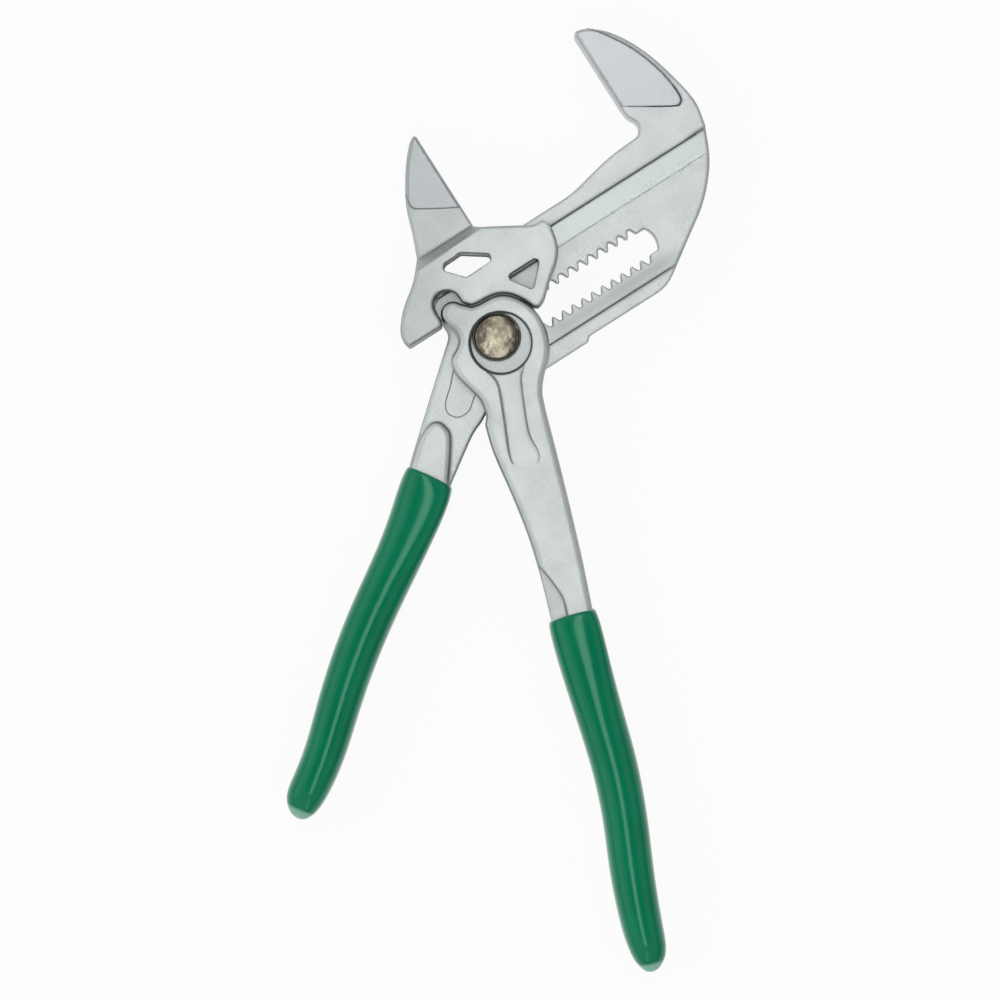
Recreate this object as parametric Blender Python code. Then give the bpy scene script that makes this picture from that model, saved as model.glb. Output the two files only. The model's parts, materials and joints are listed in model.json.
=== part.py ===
# Adjustable pliers with parallel jaws, lying flat.
# +X runs along the slot towards the fixed jaw, +Y towards the jaw tips, +Z up.
# The pivot pin stands on the Z axis and the lowest faces lie on Z = 0.

from math import asin, atan2, cos, hypot, pi, radians, sin, tan

import bmesh
import bpy
from mathutils import Vector

MM = 0.001

# Whole tool
THICKNESS = 13.0 * MM
GAP = 0.3 * MM
OVERRUN = 1.0 * MM
SLIDING_FACE_X = 8.2 * MM
JAW_TIP_Y = 44.4 * MM
CLOSING_ANGLE = radians(21.0)

# Toothed slot and the lock in it
NOTCH_PITCH = 2.39 * MM
NOTCH_STEPS = 14
TOOTH_GATE = 5.2 * MM
TOOTH_DEPTH = 1.5 * MM
SLOT_END_ROOM = 0.4 * MM
PIN_RADIUS = 4.35 * MM
FLANGE_RADIUS = 4.5 * MM
FLANGE_THICKNESS = 0.5 * MM
BORE_RADIUS = 4.9 * MM
COVER_THICKNESS = 0.7 * MM
BUTTON_RADIUS = 4.5 * MM
BUTTON_RIM = 2.0 * MM
BUTTON_DOME = 0.8 * MM
DOME_TIP_SHARE = 0.06
STUD_RADIUS = 1.2 * MM
STUD_LENGTH = 2.5 * MM
SPRING_BORE_RADIUS = 1.6 * MM
SPRING_BORE_DEPTH = 4.2 * MM
SPRING_WIRE = 0.4 * MM
SPRING_TURNS = 4

# Main lever
WEB = 5.2 * MM
RAIL = 8.0 * MM
TRACK_SINK = 0.15 * MM
TRACK_Y = 8.7 * MM
RAIL_FOOT_Y = 13.4 * MM
RAIL_LOW_Y = 16.5 * MM
RAIL_HIGH_Y = 19.1 * MM
JAW_REMAINDER = 5.04 * MM
JAW_DEPTH = 13.75 * MM
LOWER_EDGE_Y = -10.0 * MM
LOWER_STEP = 0.9 * MM
LOWER_SINK = 0.6 * MM
LOWER_BAND_Y = -7.1 * MM
CHIN_RADIUS = 8.0 * MM
CROTCH_RADIUS = 10.0 * MM
SHOULDER_X = -8.3 * MM
SHOULDER_RADIUS = 2.5 * MM
FLAT_RISE = 0.3 * MM
FLAT_MARGIN = 0.45 * MM
WEB_RIM = 0.5 * MM
JAW_RIM = 0.4 * MM
TIP_RADIUS = 0.9 * MM

# Sliding jaw
SADDLE_BACK = 24.9 * MM
FOOT_REACH = 13.25 * MM
CREST_Y = 20.4 * MM
CREST_TILT = 0.4 * MM
SLOPE_RUN = 1.9 * MM
SADDLE_RIM = 0.6 * MM
FACE_RELIEF = 0.2 * MM
WINDOW_RADIUS = 0.7 * MM
SOCKET_SIDE_GAP = 0.36 * MM
SOCKET_TOP_ROOM = 1.0 * MM

# Handle lever
HEAD_RADIUS = 9.2 * MM
HEAD_SEAT_GAP = 0.38 * MM
NOSE_RADIUS = 2.5 * MM
NOSE_STANDOUT = 0.92 * MM
NOSE_ANGLE = radians(29.6)
HEAD_RIM = 1.1 * MM
RECESS_RADIUS = 6.5 * MM
RECESS_DEPTH = 1.2 * MM
RECESS_SHIFT = 1.5 * MM
PANEL_WIDTH = 5.3 * MM
PANEL_END = 27.7 * MM
PANEL_DEPTH = 0.4 * MM
SCOOP_STEP = 0.6 * MM
SCOOP_DEPTH = 1.5 * MM
FORK_DEPTH = 17.7 * MM
FORK_NOTCH_END = 31.6 * MM

# Arms and grips, each along its own axis from the pin
MAIN_ARM_ANGLE = radians(-145.2)
MAIN_ARM_ROOT = 17.0 * MM
MAIN_GRIP_MOUTH = 31.8 * MM
MAIN_GRIP_END = 106.4 * MM
MAIN_ARM_WIDTH = 9.6 * MM
TONGUE = 7.4 * MM
TONGUE_START = 20.6 * MM
TONGUE_RIM = 1.0 * MM
HANDLE_ARM_ANGLE = radians(-108.9)
HANDLE_ARM_ROOT = 17.0 * MM
HANDLE_GRIP_MOUTH = 59.3 * MM
HANDLE_GRIP_END = 133.6 * MM
HANDLE_ARM_WIDTH = 12.8 * MM
HANDLE_TANG = 8.2 * MM
GRIP_WIDTH = 10.0 * MM
GRIP_THICKNESS = 11.0 * MM
GRIP_WALL = 1.2 * MM
GRIP_TIP_WALL = 6.0 * MM
GRIP_SQUARENESS = 2.8

# Levels and places that follow from the sizes above
MID_Z = THICKNESS / 2
CHEEK_INNER = WEB / 2 + GAP
CHEEK = MID_Z - CHEEK_INNER
ADJUST_TRAVEL = NOTCH_STEPS * NOTCH_PITCH
FIXED_FACE_X = SLIDING_FACE_X + ADJUST_TRAVEL + JAW_REMAINDER
NOSE_REACH = HEAD_RADIUS + NOSE_STANDOUT
NOSE_X = -NOSE_REACH * sin(NOSE_ANGLE)
NOSE_Y = NOSE_REACH * cos(NOSE_ANGLE)
NOSE_TOP_CLOSED = NOSE_REACH * cos(NOSE_ANGLE - CLOSING_ANGLE) + NOSE_RADIUS
SADDLE_LOW_Y = HEAD_RADIUS * 0.848
SLOPE_FOOT_Y = CREST_Y + SLOPE_RUN
CHANNEL_TOP_Y = RAIL_HIGH_Y + GAP
SLOT_LOW_END = -(PIN_RADIUS + GAP + SLOT_END_ROOM)
SLOT_HIGH_END = ADJUST_TRAVEL + PIN_RADIUS + GAP + SLOT_END_ROOM
LOCK_TRAVEL = CHEEK - COVER_THICKNESS - GAP - FLANGE_THICKNESS

# Half widths of the valley between two teeth, as shares of the pitch
VALLEY_MOUTH_SHARE = 0.42
VALLEY_FLOOR_SHARE = 0.13

# Outline knots, as shares of the sizes named beside them
# x of the jaw depth from the fixed face, y from the rail's foot to the tip
JAW_BACK_SHARES = [
    (0.924, 0.0), (0.994, 0.18), (0.912, 0.405), (0.764, 0.632),
    (0.531, 0.832), (0.284, 0.948), (0.07, 1.0),
]
# x of the jaw depth from the fixed face, y of the rail foot's height
BODY_FRONT_SHARES = [
    (-0.524, -0.537), (-0.142, -0.269), (0.24, 0.0), (0.531, 0.291), (0.742, 0.59), (0.924, 1.0),
]
# x of the jaw depth from the fixed face, y from the high rail to the tip
JAW_NOTCH_SHARES = [
    (0.0, 0.253), (0.018, 0.18), (0.075, 0.122), (0.084, 0.075), (0.044, 0.032), (-0.036, 0.004),
    (-0.16, 0.0),
]
# x of the jaw depth from the fixed face, y from the low rail to the high one
RAIL_RISE_SHARES = [(-0.415, 0.92), (-0.63, 0.77), (-0.92, 0.46), (-1.21, 0.12), (-1.42, 0.0)]
# x of the jaw depth from the fixed face, y from the rail's foot to the tip
JAW_FLAT_SHARES = [
    (-0.07, 0.441), (0.669, 0.232), (0.785, 0.222), (0.836, 0.267), (0.822, 0.389),
    (0.756, 0.527), (0.618, 0.695), (0.429, 0.842), (0.276, 0.939), (0.167, 1.04), (-0.07, 1.06),
]
# x of the saddle's back from the sliding face, y from the slope's foot to the tip
SADDLE_JAW_SHARES = [
    (0.03, 0.993), (0.145, 0.865), (0.269, 0.68), (0.382, 0.462), (0.458, 0.222), (0.538, 0.0),
]
# x of the saddle's back from the sliding face, y from the low edge to the slope's foot
SADDLE_LOBE_SHARES = [(0.667, 0.745), (0.851, 0.503), (0.972, 0.262), (1.0, 0.1)]
# x of the foot's reach from the sliding face, y of the slope foot's height
SADDLE_FOOT_SHARES = [
    (0.189, 0.027), (0.309, 0.052), (0.438, 0.117), (0.589, 0.197), (0.762, 0.274), (0.891, 0.359),
    (0.958, 0.448), (1.0, 0.574), (0.985, 0.641), (0.921, 0.677), (0.83, 0.68), (0.755, 0.693),
    (0.604, 0.749),
]
SADDLE_SHOULDER_SHARES = [(0.075, 0.933), (0.0, 0.973)]
WINDOW_SHARES = [(0.249, 0.179), (0.626, 0.417), (-0.015, 0.417)]
# x of the saddle's back from the sliding face, y of the slope foot's height
HOLE_SHARES = [
    (0.277, 0.608), (0.032, 0.614), (0.012, 0.677), (0.209, 0.83), (0.369, 0.825), (0.41, 0.776),
]
# x of the saddle's back from the sliding face, y from the slope's foot to the tip
SADDLE_FLAT_SHARES = [
    (0.329, 0.402), (-0.05, 0.156), (-0.05, 1.1), (0.35, 1.1), (0.31, 0.6), (0.353, 0.455),
]
# x and y of the head's radius, from the arm's right side up and over to the nose
HEAD_RIGHT_SHARES = [
    (0.163, -1.652), (0.277, -1.467), (0.467, -1.261), (0.707, -1.043), (0.891, -0.783),
    (1.011, -0.489), (1.054, -0.163), (1.035, 0.06), (0.978, 0.24), (0.891, 0.413), (0.761, 0.598),
    (0.598, 0.728), (0.38, 0.802), (0.054, 0.826),
]
HEAD_SEAT_KNOT = 7
NOSE_FLANK_SHARES = [(-0.098, 0.859), (-0.205, 0.965)]
NOSE_ARC = (radians(25), radians(192))
# x and y of the head's radius, from the nose down to the arm's left side
HEAD_LEFT_SHARES = [
    (-0.75, 0.717), (-0.712, 0.565), (-0.761, 0.37), (-0.913, 0.245), (-1.087, 0.152),
    (-1.185, 0.0), (-1.207, -0.326), (-1.109, -0.761), (-1.065, -1.033), (-1.14, -1.36),
]
# Each row: way along from root to mouth, then left, right and half thickness as shares of
# the arm's width, the arm's width and the tool's thickness
HANDLE_ARM_SHARES = [
    (0.0, -0.512, 0.488, 0.5), (0.142, -0.488, 0.496, 0.49), (0.355, -0.363, 0.504, 0.455),
    (0.567, -0.262, 0.504, 0.4), (0.78, -0.219, 0.496, 0.355), (0.99, -0.215, 0.469, 0.331),
]
# Each row: way along from root to mouth, then across as a share of the arm's width
SCOOP_SHARES = [
    (0.68, -0.3), (0.757, -0.141), (0.837, -0.023), (0.903, 0.055), (0.96, 0.066), (1.03, 0.06),
]
# Each row: way along from the pin to the panel's end, then across as a share of its width
PANEL_SHARES = [
    (0.202, -0.811), (0.249, -0.65), (0.321, -0.434), (0.422, -0.406), (0.682, -0.521),
    (0.877, -0.604), (0.953, -0.51), (0.993, -0.17), (1.0, 0.12), (0.978, 0.415), (0.924, 0.52),
    (0.877, 0.47), (0.776, 0.32), (0.54, 0.415), (0.36, 0.528), (0.285, 0.68), (0.217, 0.868),
]
# Each row: way along from root to mouth, then left and right as shares of the arm's width
MAIN_ARM_SHARES = [
    (0.0, -0.82, 0.405), (0.17, -0.792, 0.344), (0.34, -0.766, 0.323), (0.85, -0.682, 0.315),
    (1.0, -0.65, 0.315),
]
# Each row: way along from start to mouth, then across as a share of the arm's width
TONGUE_RIGHT_SHARES = [(0.97, 0.25), (0.6, 0.115), (0.16, -0.085), (0.04, -0.25), (0.0, -0.45)]
TONGUE_LEFT_SHARES = [(0.12, -0.61), (0.42, -0.68), (0.75, -0.66)]
# Each row: way along from root to fork end, then across as a share of the arm's width
FORK_NOTCH_SHARES = [(0.0, -0.016), (0.18, -0.105), (0.34, -0.165), (0.51, -0.22), (0.68, -0.275),
                     (0.86, -0.32)]
# Each row: way along from mouth to end, then left, right and half thickness as shares of
# the grip's width, the grip's width and its thickness
MAIN_GRIP_SHARES = [
    (0.0, -0.685, 0.365, 0.47), (0.035, -0.71, 0.4, 0.5), (0.09, -0.675, 0.415, 0.5),
    (0.17, -0.62, 0.4, 0.5), (0.27, -0.61, 0.365, 0.5), (0.40, -0.655, 0.305, 0.5),
    (0.54, -0.635, 0.3, 0.5), (0.67, -0.55, 0.365, 0.5), (0.78, -0.425, 0.455, 0.5),
    (0.86, -0.38, 0.468, 0.5), (0.92, -0.395, 0.44, 0.48), (0.955, -0.37, 0.36, 0.42),
    (0.982, -0.27, 0.235, 0.31), (1.0, -0.09, 0.08, 0.13),
]
HANDLE_GRIP_SHARES = [
    (0.0, -0.35, 0.67, 0.47), (0.03, -0.375, 0.695, 0.5), (0.1, -0.37, 0.7, 0.5),
    (0.22, -0.305, 0.715, 0.5), (0.33, -0.235, 0.75, 0.5), (0.42, -0.195, 0.775, 0.5),
    (0.5, -0.19, 0.758, 0.5), (0.6, -0.235, 0.705, 0.5), (0.7, -0.33, 0.61, 0.5),
    (0.8, -0.37, 0.53, 0.5), (0.89, -0.37, 0.49, 0.49), (0.935, -0.325, 0.475, 0.46),
    (0.967, -0.22, 0.405, 0.39), (0.988, -0.1, 0.29, 0.28), (1.0, 0.06, 0.16, 0.13),
]

# Facets
CURVE_PIECES = 3
FILLET_PIECES = 4
RIM_PIECES = 2
ROUND_PIECES = 40
GRIP_SIDES = 20
COIL_POINTS = 9
COIL_SIDES_LEVEL = 1
SMOOTH_ANGLE = radians(32)


def clear_scene():
    for item in list(bpy.data.objects):
        bpy.data.objects.remove(item, do_unlink=True)


# Plane geometry

def smooth_run(knots, pieces=CURVE_PIECES):
    """Points on a Catmull-Rom curve through the knots, of any dimension, ends included."""
    knots = [tuple(knot) for knot in knots]
    first = tuple(2 * a - b for a, b in zip(knots[0], knots[1]))
    last = tuple(2 * a - b for a, b in zip(knots[-1], knots[-2]))
    chain = [first] + knots + [last]
    points = []
    for i in range(1, len(chain) - 2):
        for k in range(pieces):
            u = k / pieces
            point = []
            for a, b, c, d in zip(chain[i - 1], chain[i], chain[i + 1], chain[i + 2]):
                point.append(0.5 * (2 * b + (c - a) * u + (2 * a - 5 * b + 4 * c - d) * u ** 2
                                    + (3 * b - a - 3 * c + d) * u ** 3))
            points.append(tuple(point))
    points.append(knots[-1])
    return points


def arc_run(centre, radius, start, end, pieces):
    """Points on an arc, ends included."""
    points = []
    for k in range(pieces + 1):
        angle = start + (end - start) * k / pieces
        points.append((centre[0] + radius * cos(angle), centre[1] + radius * sin(angle)))
    return points


def fillet_run(before, corner, after, radius, pieces=FILLET_PIECES):
    """Points that round one corner, limited by the sides that meet there."""
    a = Vector(before) - Vector(corner)
    b = Vector(after) - Vector(corner)
    side = min(a.length, b.length) / 2
    a.normalize()
    b.normalize()
    half = a.angle(b) / 2
    reach = min(radius / tan(half), side)
    radius = reach * tan(half)
    middle = Vector(corner) + (a + b).normalized() * (radius / sin(half))
    start = Vector(corner) + a * reach - middle
    turn = a.angle_signed(b)
    sweep = (pi - abs(turn)) * (1 if turn > 0 else -1)
    first = atan2(start.y, start.x)
    return arc_run(middle, radius, first, first + sweep, pieces)


def rounded(corners, radius):
    """A closed outline with every corner rounded."""
    points = []
    for i, corner in enumerate(corners):
        points += fillet_run(corners[i - 1], corner, corners[(i + 1) % len(corners)], radius)
    return points


def tidy(points):
    """The outline without points that fall on the one before."""
    kept = []
    for point in points:
        if not kept or hypot(point[0] - kept[-1][0], point[1] - kept[-1][1]) > GAP / 10:
            kept.append(tuple(point))
    if hypot(kept[0][0] - kept[-1][0], kept[0][1] - kept[-1][1]) < GAP / 10:
        kept.pop()
    return kept


def inset(points, distance):
    """A counter-clockwise closed outline moved inwards, or outwards for a distance below 0."""
    moved = []
    count = len(points)
    for i in range(count):
        before = Vector(points[i - 1][:2])
        here = Vector(points[i][:2])
        after = Vector(points[(i + 1) % count][:2])
        a = (here - before).normalized()
        b = (after - here).normalized()
        normal = Vector((-a.y - b.y, a.x + b.x)) / (1 + a.dot(b))
        moved.append(tuple(here + normal * distance))
    return moved


def arm_point(angle, along, across):
    """A place on an arm, given along its axis and across it to the left."""
    return (along * cos(angle) - across * sin(angle), along * sin(angle) + across * cos(angle))


def mix(low, high, share):
    return low + (high - low) * share


# Solids

def new_object(name, mesh):
    item = bpy.data.objects.new(name, mesh)
    bpy.context.collection.objects.link(item)
    return item


def from_rings(name, rings):
    """A closed body skinned over rings of equal length, the first and last filled."""
    shell = bmesh.new()
    loops = [[shell.verts.new(point) for point in ring] for ring in rings]
    for low, high in zip(loops, loops[1:]):
        for i in range(len(low)):
            j = (i + 1) % len(low)
            shell.faces.new((low[i], low[j], high[j], high[i]))
    shell.faces.new(list(reversed(loops[0])))
    shell.faces.new(loops[-1])
    bmesh.ops.recalc_face_normals(shell, faces=shell.faces)
    mesh = bpy.data.meshes.new(name)
    shell.to_mesh(mesh)
    shell.free()
    return new_object(name, mesh)


def prism(name, outline, low, high):
    """An upright prism between two heights."""
    outline = tidy(outline)
    return from_rings(name, [[(x, y, z) for x, y in outline] for z in (low, high)])


def rim_levels(low, high, rim):
    """Inset and height of each ring of a plate with rounded rims."""
    levels = []
    for k in range(RIM_PIECES + 1):
        angle = k / RIM_PIECES * pi / 2
        levels.append((rim * (1 - sin(angle)), low + rim * (1 - cos(angle))))
    for margin, z in reversed(levels[:RIM_PIECES + 1]):
        levels.append((margin, high - (z - low)))
    return levels


def plate(name, outline, half, rim):
    """A plate about the middle plane, with rounded rims."""
    outline = tidy(outline)
    rings = []
    for margin, z in rim_levels(MID_Z - half, MID_Z + half, rim):
        rings.append([(x, y, z) for x, y in inset(outline, margin)])
    return from_rings(name, rings)


def lever_blank(name, head, stations, angle, rim):
    """A head outline and an arm whose thickness follows its stations, in one closed body.

    The head's outline starts at the arm's right side and runs round to its left side.
    A station is the place along the arm, its left and right edges and its half thickness.
    """
    right = [arm_point(angle, s, r) for s, _, r, _ in stations]
    left = [arm_point(angle, s, l) for s, l, _, _ in stations]
    outline = head + left + right[::-1]
    halves = [MID_Z] * len(head) + [row[3] for row in stations] + [row[3] for row in stations[::-1]]
    count = len(outline)
    shell = bmesh.new()
    rings = []
    for side in (-1, 1):
        half_rings = []
        for k in range(RIM_PIECES + 1):
            turn = k / RIM_PIECES * pi / 2
            flat = inset(outline, rim * (1 - sin(turn)))
            drop = rim * (1 - cos(turn))
            ring = []
            for point, half in zip(flat, halves):
                ring.append(shell.verts.new((point[0], point[1], MID_Z + side * (half - drop))))
            half_rings.append(ring)
        rings += half_rings if side < 0 else half_rings[::-1]
    for low, high in zip(rings, rings[1:]):
        for i in range(count):
            j = (i + 1) % count
            shell.faces.new((low[i], low[j], high[j], high[i]))
    heads = len(head)
    rows = len(stations)
    for ring in (rings[0], rings[-1]):
        shell.faces.new(ring[:heads + 1] + ring[-1:])
        for i in range(rows - 1):
            a = heads + i
            b = count - 1 - i
            shell.faces.new((ring[a], ring[a + 1], ring[b - 1], ring[b]))
    bmesh.ops.recalc_face_normals(shell, faces=shell.faces)
    mesh = bpy.data.meshes.new(name)
    shell.to_mesh(mesh)
    shell.free()
    return new_object(name, mesh)


def turned(name, profile, centre=(0, 0)):
    """A body turned about an upright axis, its profile given from bottom to top."""
    rings = []
    for radius, z in profile:
        ring = []
        for k in range(ROUND_PIECES):
            angle = 2 * pi * k / ROUND_PIECES
            ring.append((centre[0] + radius * cos(angle), centre[1] + radius * sin(angle), z))
        rings.append(ring)
    return from_rings(name, rings)


def combine(body, tool, operation):
    """Boolean of the two, kept on the first; the tool is used up."""
    step = body.modifiers.new(operation, "BOOLEAN")
    step.operation = operation
    step.solver = "EXACT"
    step.object = tool
    graph = bpy.context.evaluated_depsgraph_get()
    result = bpy.data.meshes.new_from_object(body.evaluated_get(graph))
    body.modifiers.clear()
    body.data = result
    bpy.data.objects.remove(tool, do_unlink=True)


def join(body, tool):
    combine(body, tool, "UNION")


def cut(body, tool):
    combine(body, tool, "DIFFERENCE")


def cut_both_faces(body, name, outline, depth_half, top_half):
    """Sinks both faces of a body inside an outline, from one half thickness to another."""
    cut(body, prism(name, outline, MID_Z + depth_half, MID_Z + top_half + OVERRUN))
    cut(body, prism(name, outline, MID_Z - top_half - OVERRUN, MID_Z - depth_half))


def paint(item, colour, roughness, metallic):
    material = bpy.data.materials.new(item.name)
    material.use_nodes = True
    shader = material.node_tree.nodes["Principled BSDF"]
    shader.inputs["Base Color"].default_value = (*colour, 1)
    shader.inputs["Roughness"].default_value = roughness
    shader.inputs["Metallic"].default_value = metallic
    item.data.materials.clear()
    item.data.materials.append(material)


def finish(item, colour, roughness, metallic):
    """Cleans the mesh, shades it smooth up to the sharp edges and colours it."""
    shell = bmesh.new()
    shell.from_mesh(item.data)
    bmesh.ops.remove_doubles(shell, verts=shell.verts, dist=GAP / 100)
    bmesh.ops.dissolve_degenerate(shell, edges=shell.edges, dist=GAP / 100)
    shell.to_mesh(item.data)
    shell.free()
    item.data.shade_smooth()
    item.data.set_sharp_from_angle(angle=SMOOTH_ANGLE)
    paint(item, colour, roughness, metallic)


# Grips and the tangs inside them

def main_grip_stations():
    rows = []
    for s, l, r, h in MAIN_GRIP_SHARES:
        along = mix(MAIN_GRIP_MOUTH, MAIN_GRIP_END, s)
        rows.append((along, l * GRIP_WIDTH, r * GRIP_WIDTH, h * GRIP_THICKNESS))
    return smooth_run(rows, 2)


def handle_grip_stations():
    rows = []
    for s, l, r, h in HANDLE_GRIP_SHARES:
        along = mix(HANDLE_GRIP_MOUTH, HANDLE_GRIP_END, s)
        rows.append((along, l * GRIP_WIDTH, r * GRIP_WIDTH, h * GRIP_THICKNESS))
    return smooth_run(rows, 2)


def tang_stations(grip, mouth, end, half):
    """Edges of the steel inside a grip, one wall in from the grip's own edges."""
    rows = []
    for along, left, right, _ in grip:
        if mouth + GRIP_WALL < along < end - GRIP_TIP_WALL:
            rows.append((along, left + GRIP_WALL, right - GRIP_WALL, half))
    return rows


def grip_body(name, stations, angle):
    """A soft-cornered sleeve lofted along an arm."""
    rings = []
    for along, left, right, half in stations:
        middle = (left + right) / 2
        reach = (right - left) / 2
        ring = []
        for k in range(GRIP_SIDES):
            turn = 2 * pi * k / GRIP_SIDES
            c = cos(turn)
            s = sin(turn)
            across = middle + reach * abs(c) ** (2 / GRIP_SQUARENESS) * (1 if c >= 0 else -1)
            height = half * abs(s) ** (2 / GRIP_SQUARENESS) * (1 if s >= 0 else -1)
            x, y = arm_point(angle, along, across)
            ring.append((x, y, MID_Z + height))
        rings.append(ring)
    return from_rings(name, rings)


def hollow_for_tang(grip, rows, mouth_row, angle, rim):
    """Opens the grip at its mouth and hollows it to fit the tang with a gap all round."""
    mouth, left, right, half = mouth_row
    edges = [(mouth - OVERRUN * 2, left, right)] + [(mouth, left, right)]
    edges += [(s, l, r) for s, l, r, _ in rows]
    outline = [arm_point(angle, s, l) for s, l, _ in edges]
    outline += [arm_point(angle, s, r) for s, _, r in reversed(edges)]
    cut(grip, plate("hollow", inset(outline, -GAP), half + GAP, rim + GAP))


# Main lever

def jaw_x(share):
    return FIXED_FACE_X + share * JAW_DEPTH


def slot_outline():
    """The slot, with a valley between each two teeth on both sides and round ends."""
    gate = TOOTH_GATE / 2
    valley = gate + TOOTH_DEPTH
    mouth = NOTCH_PITCH * VALLEY_MOUTH_SHARE
    floor = NOTCH_PITCH * VALLEY_FLOOR_SHARE
    upper = []
    for k in range(-1, NOTCH_STEPS + 1):
        centre = (k + 0.5) * NOTCH_PITCH
        upper += [(centre - mouth, gate), (centre - floor, valley), (centre + floor, valley),
                  (centre + mouth, gate)]
    round_end = PIN_RADIUS + GAP
    turn = asin(gate / round_end)
    high = arc_run((SLOT_HIGH_END - round_end, 0), round_end, -turn, turn, 8)
    low = arc_run((SLOT_LOW_END + round_end, 0), round_end, pi - turn, pi + turn, 8)
    lower = [(x, -y) for x, y in upper]
    return lower + high + upper[::-1] + low


def main_web_outline(front):
    """The thin body of the lever: round the slot and down the arm to inside the grip."""
    strip = RAIL_FOOT_Y + OVERRUN
    span = MAIN_GRIP_MOUTH - MAIN_ARM_ROOT
    rows = [(MAIN_ARM_ROOT + s * span, l * MAIN_ARM_WIDTH, r * MAIN_ARM_WIDTH)
            for s, l, r in MAIN_ARM_SHARES]
    deep = MAIN_GRIP_MOUTH + GRIP_TIP_WALL
    shy = OVERRUN
    right = [arm_point(MAIN_ARM_ANGLE, deep, rows[-1][2] - shy)]
    right += [arm_point(MAIN_ARM_ANGLE, s, r) for s, _, r in reversed(smooth_run(rows))]
    left = [arm_point(MAIN_ARM_ANGLE, s, l) for s, l, _ in smooth_run(rows)]
    left += [arm_point(MAIN_ARM_ANGLE, deep, rows[-1][1] + shy)]
    low = LOWER_EDGE_Y - LOWER_STEP
    step_x = SLIDING_FACE_X + LOWER_STEP * 8
    chin_start = front[0]
    slope = (front[CURVE_PIECES][1] - front[0][1]) / (front[CURVE_PIECES][0] - front[0][0])
    chin = (chin_start[0] + (LOWER_EDGE_Y - chin_start[1]) / slope, LOWER_EDGE_Y)
    crotch = (SHOULDER_X, low)
    ledge = (step_x + LOWER_STEP, LOWER_EDGE_Y)
    outline = list(right)
    outline += fillet_run(right[-1], crotch, (step_x, low), CROTCH_RADIUS)
    outline += [(step_x, low), ledge]
    outline += fillet_run(ledge, chin, chin_start, CHIN_RADIUS)
    outline += front
    outline += [(front[-1][0] - OVERRUN, strip)]
    outline += [(SLIDING_FACE_X + RAIL_LOW_Y - RAIL_FOOT_Y + OVERRUN, strip)]
    outline += [(SLIDING_FACE_X + RAIL_LOW_Y - RAIL_FOOT_Y, RAIL_FOOT_Y)]
    waist = arm_point(MAIN_ARM_ANGLE, MAIN_ARM_ROOT * 0.2, rows[0][1] - SHOULDER_RADIUS / 2)
    outline += fillet_run(outline[-1], (SHOULDER_X, RAIL_FOOT_Y), waist, SHOULDER_RADIUS)
    outline += fillet_run((SHOULDER_X, RAIL_FOOT_Y), waist, left[0], SHOULDER_RADIUS)
    outline += left
    return outline


def fixed_jaw_outline():
    """The rail and the fixed jaw, above the rail's foot."""
    rise = JAW_TIP_Y - RAIL_FOOT_Y
    back = smooth_run([(jaw_x(x), RAIL_FOOT_Y + y * rise) for x, y in JAW_BACK_SHARES])
    high = JAW_TIP_Y - RAIL_HIGH_Y
    notch = smooth_run([(jaw_x(x), RAIL_HIGH_Y + y * high) for x, y in JAW_NOTCH_SHARES])
    step = RAIL_HIGH_Y - RAIL_LOW_Y
    rail = smooth_run([(jaw_x(x), RAIL_LOW_Y + y * step) for x, y in RAIL_RISE_SHARES])
    tip = (FIXED_FACE_X, JAW_TIP_Y)
    start = SLIDING_FACE_X + RAIL_LOW_Y - RAIL_FOOT_Y
    end = (start + RAIL_LOW_Y - RAIL_FOOT_Y, RAIL_LOW_Y)
    outline = back[:-1]
    outline += fillet_run(back[-2], tip, notch[0], TIP_RADIUS)
    outline += notch + rail
    outline += fillet_run(rail[-1], end, (start, RAIL_FOOT_Y), TIP_RADIUS)
    outline += [(start, RAIL_FOOT_Y)]
    return outline


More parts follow.
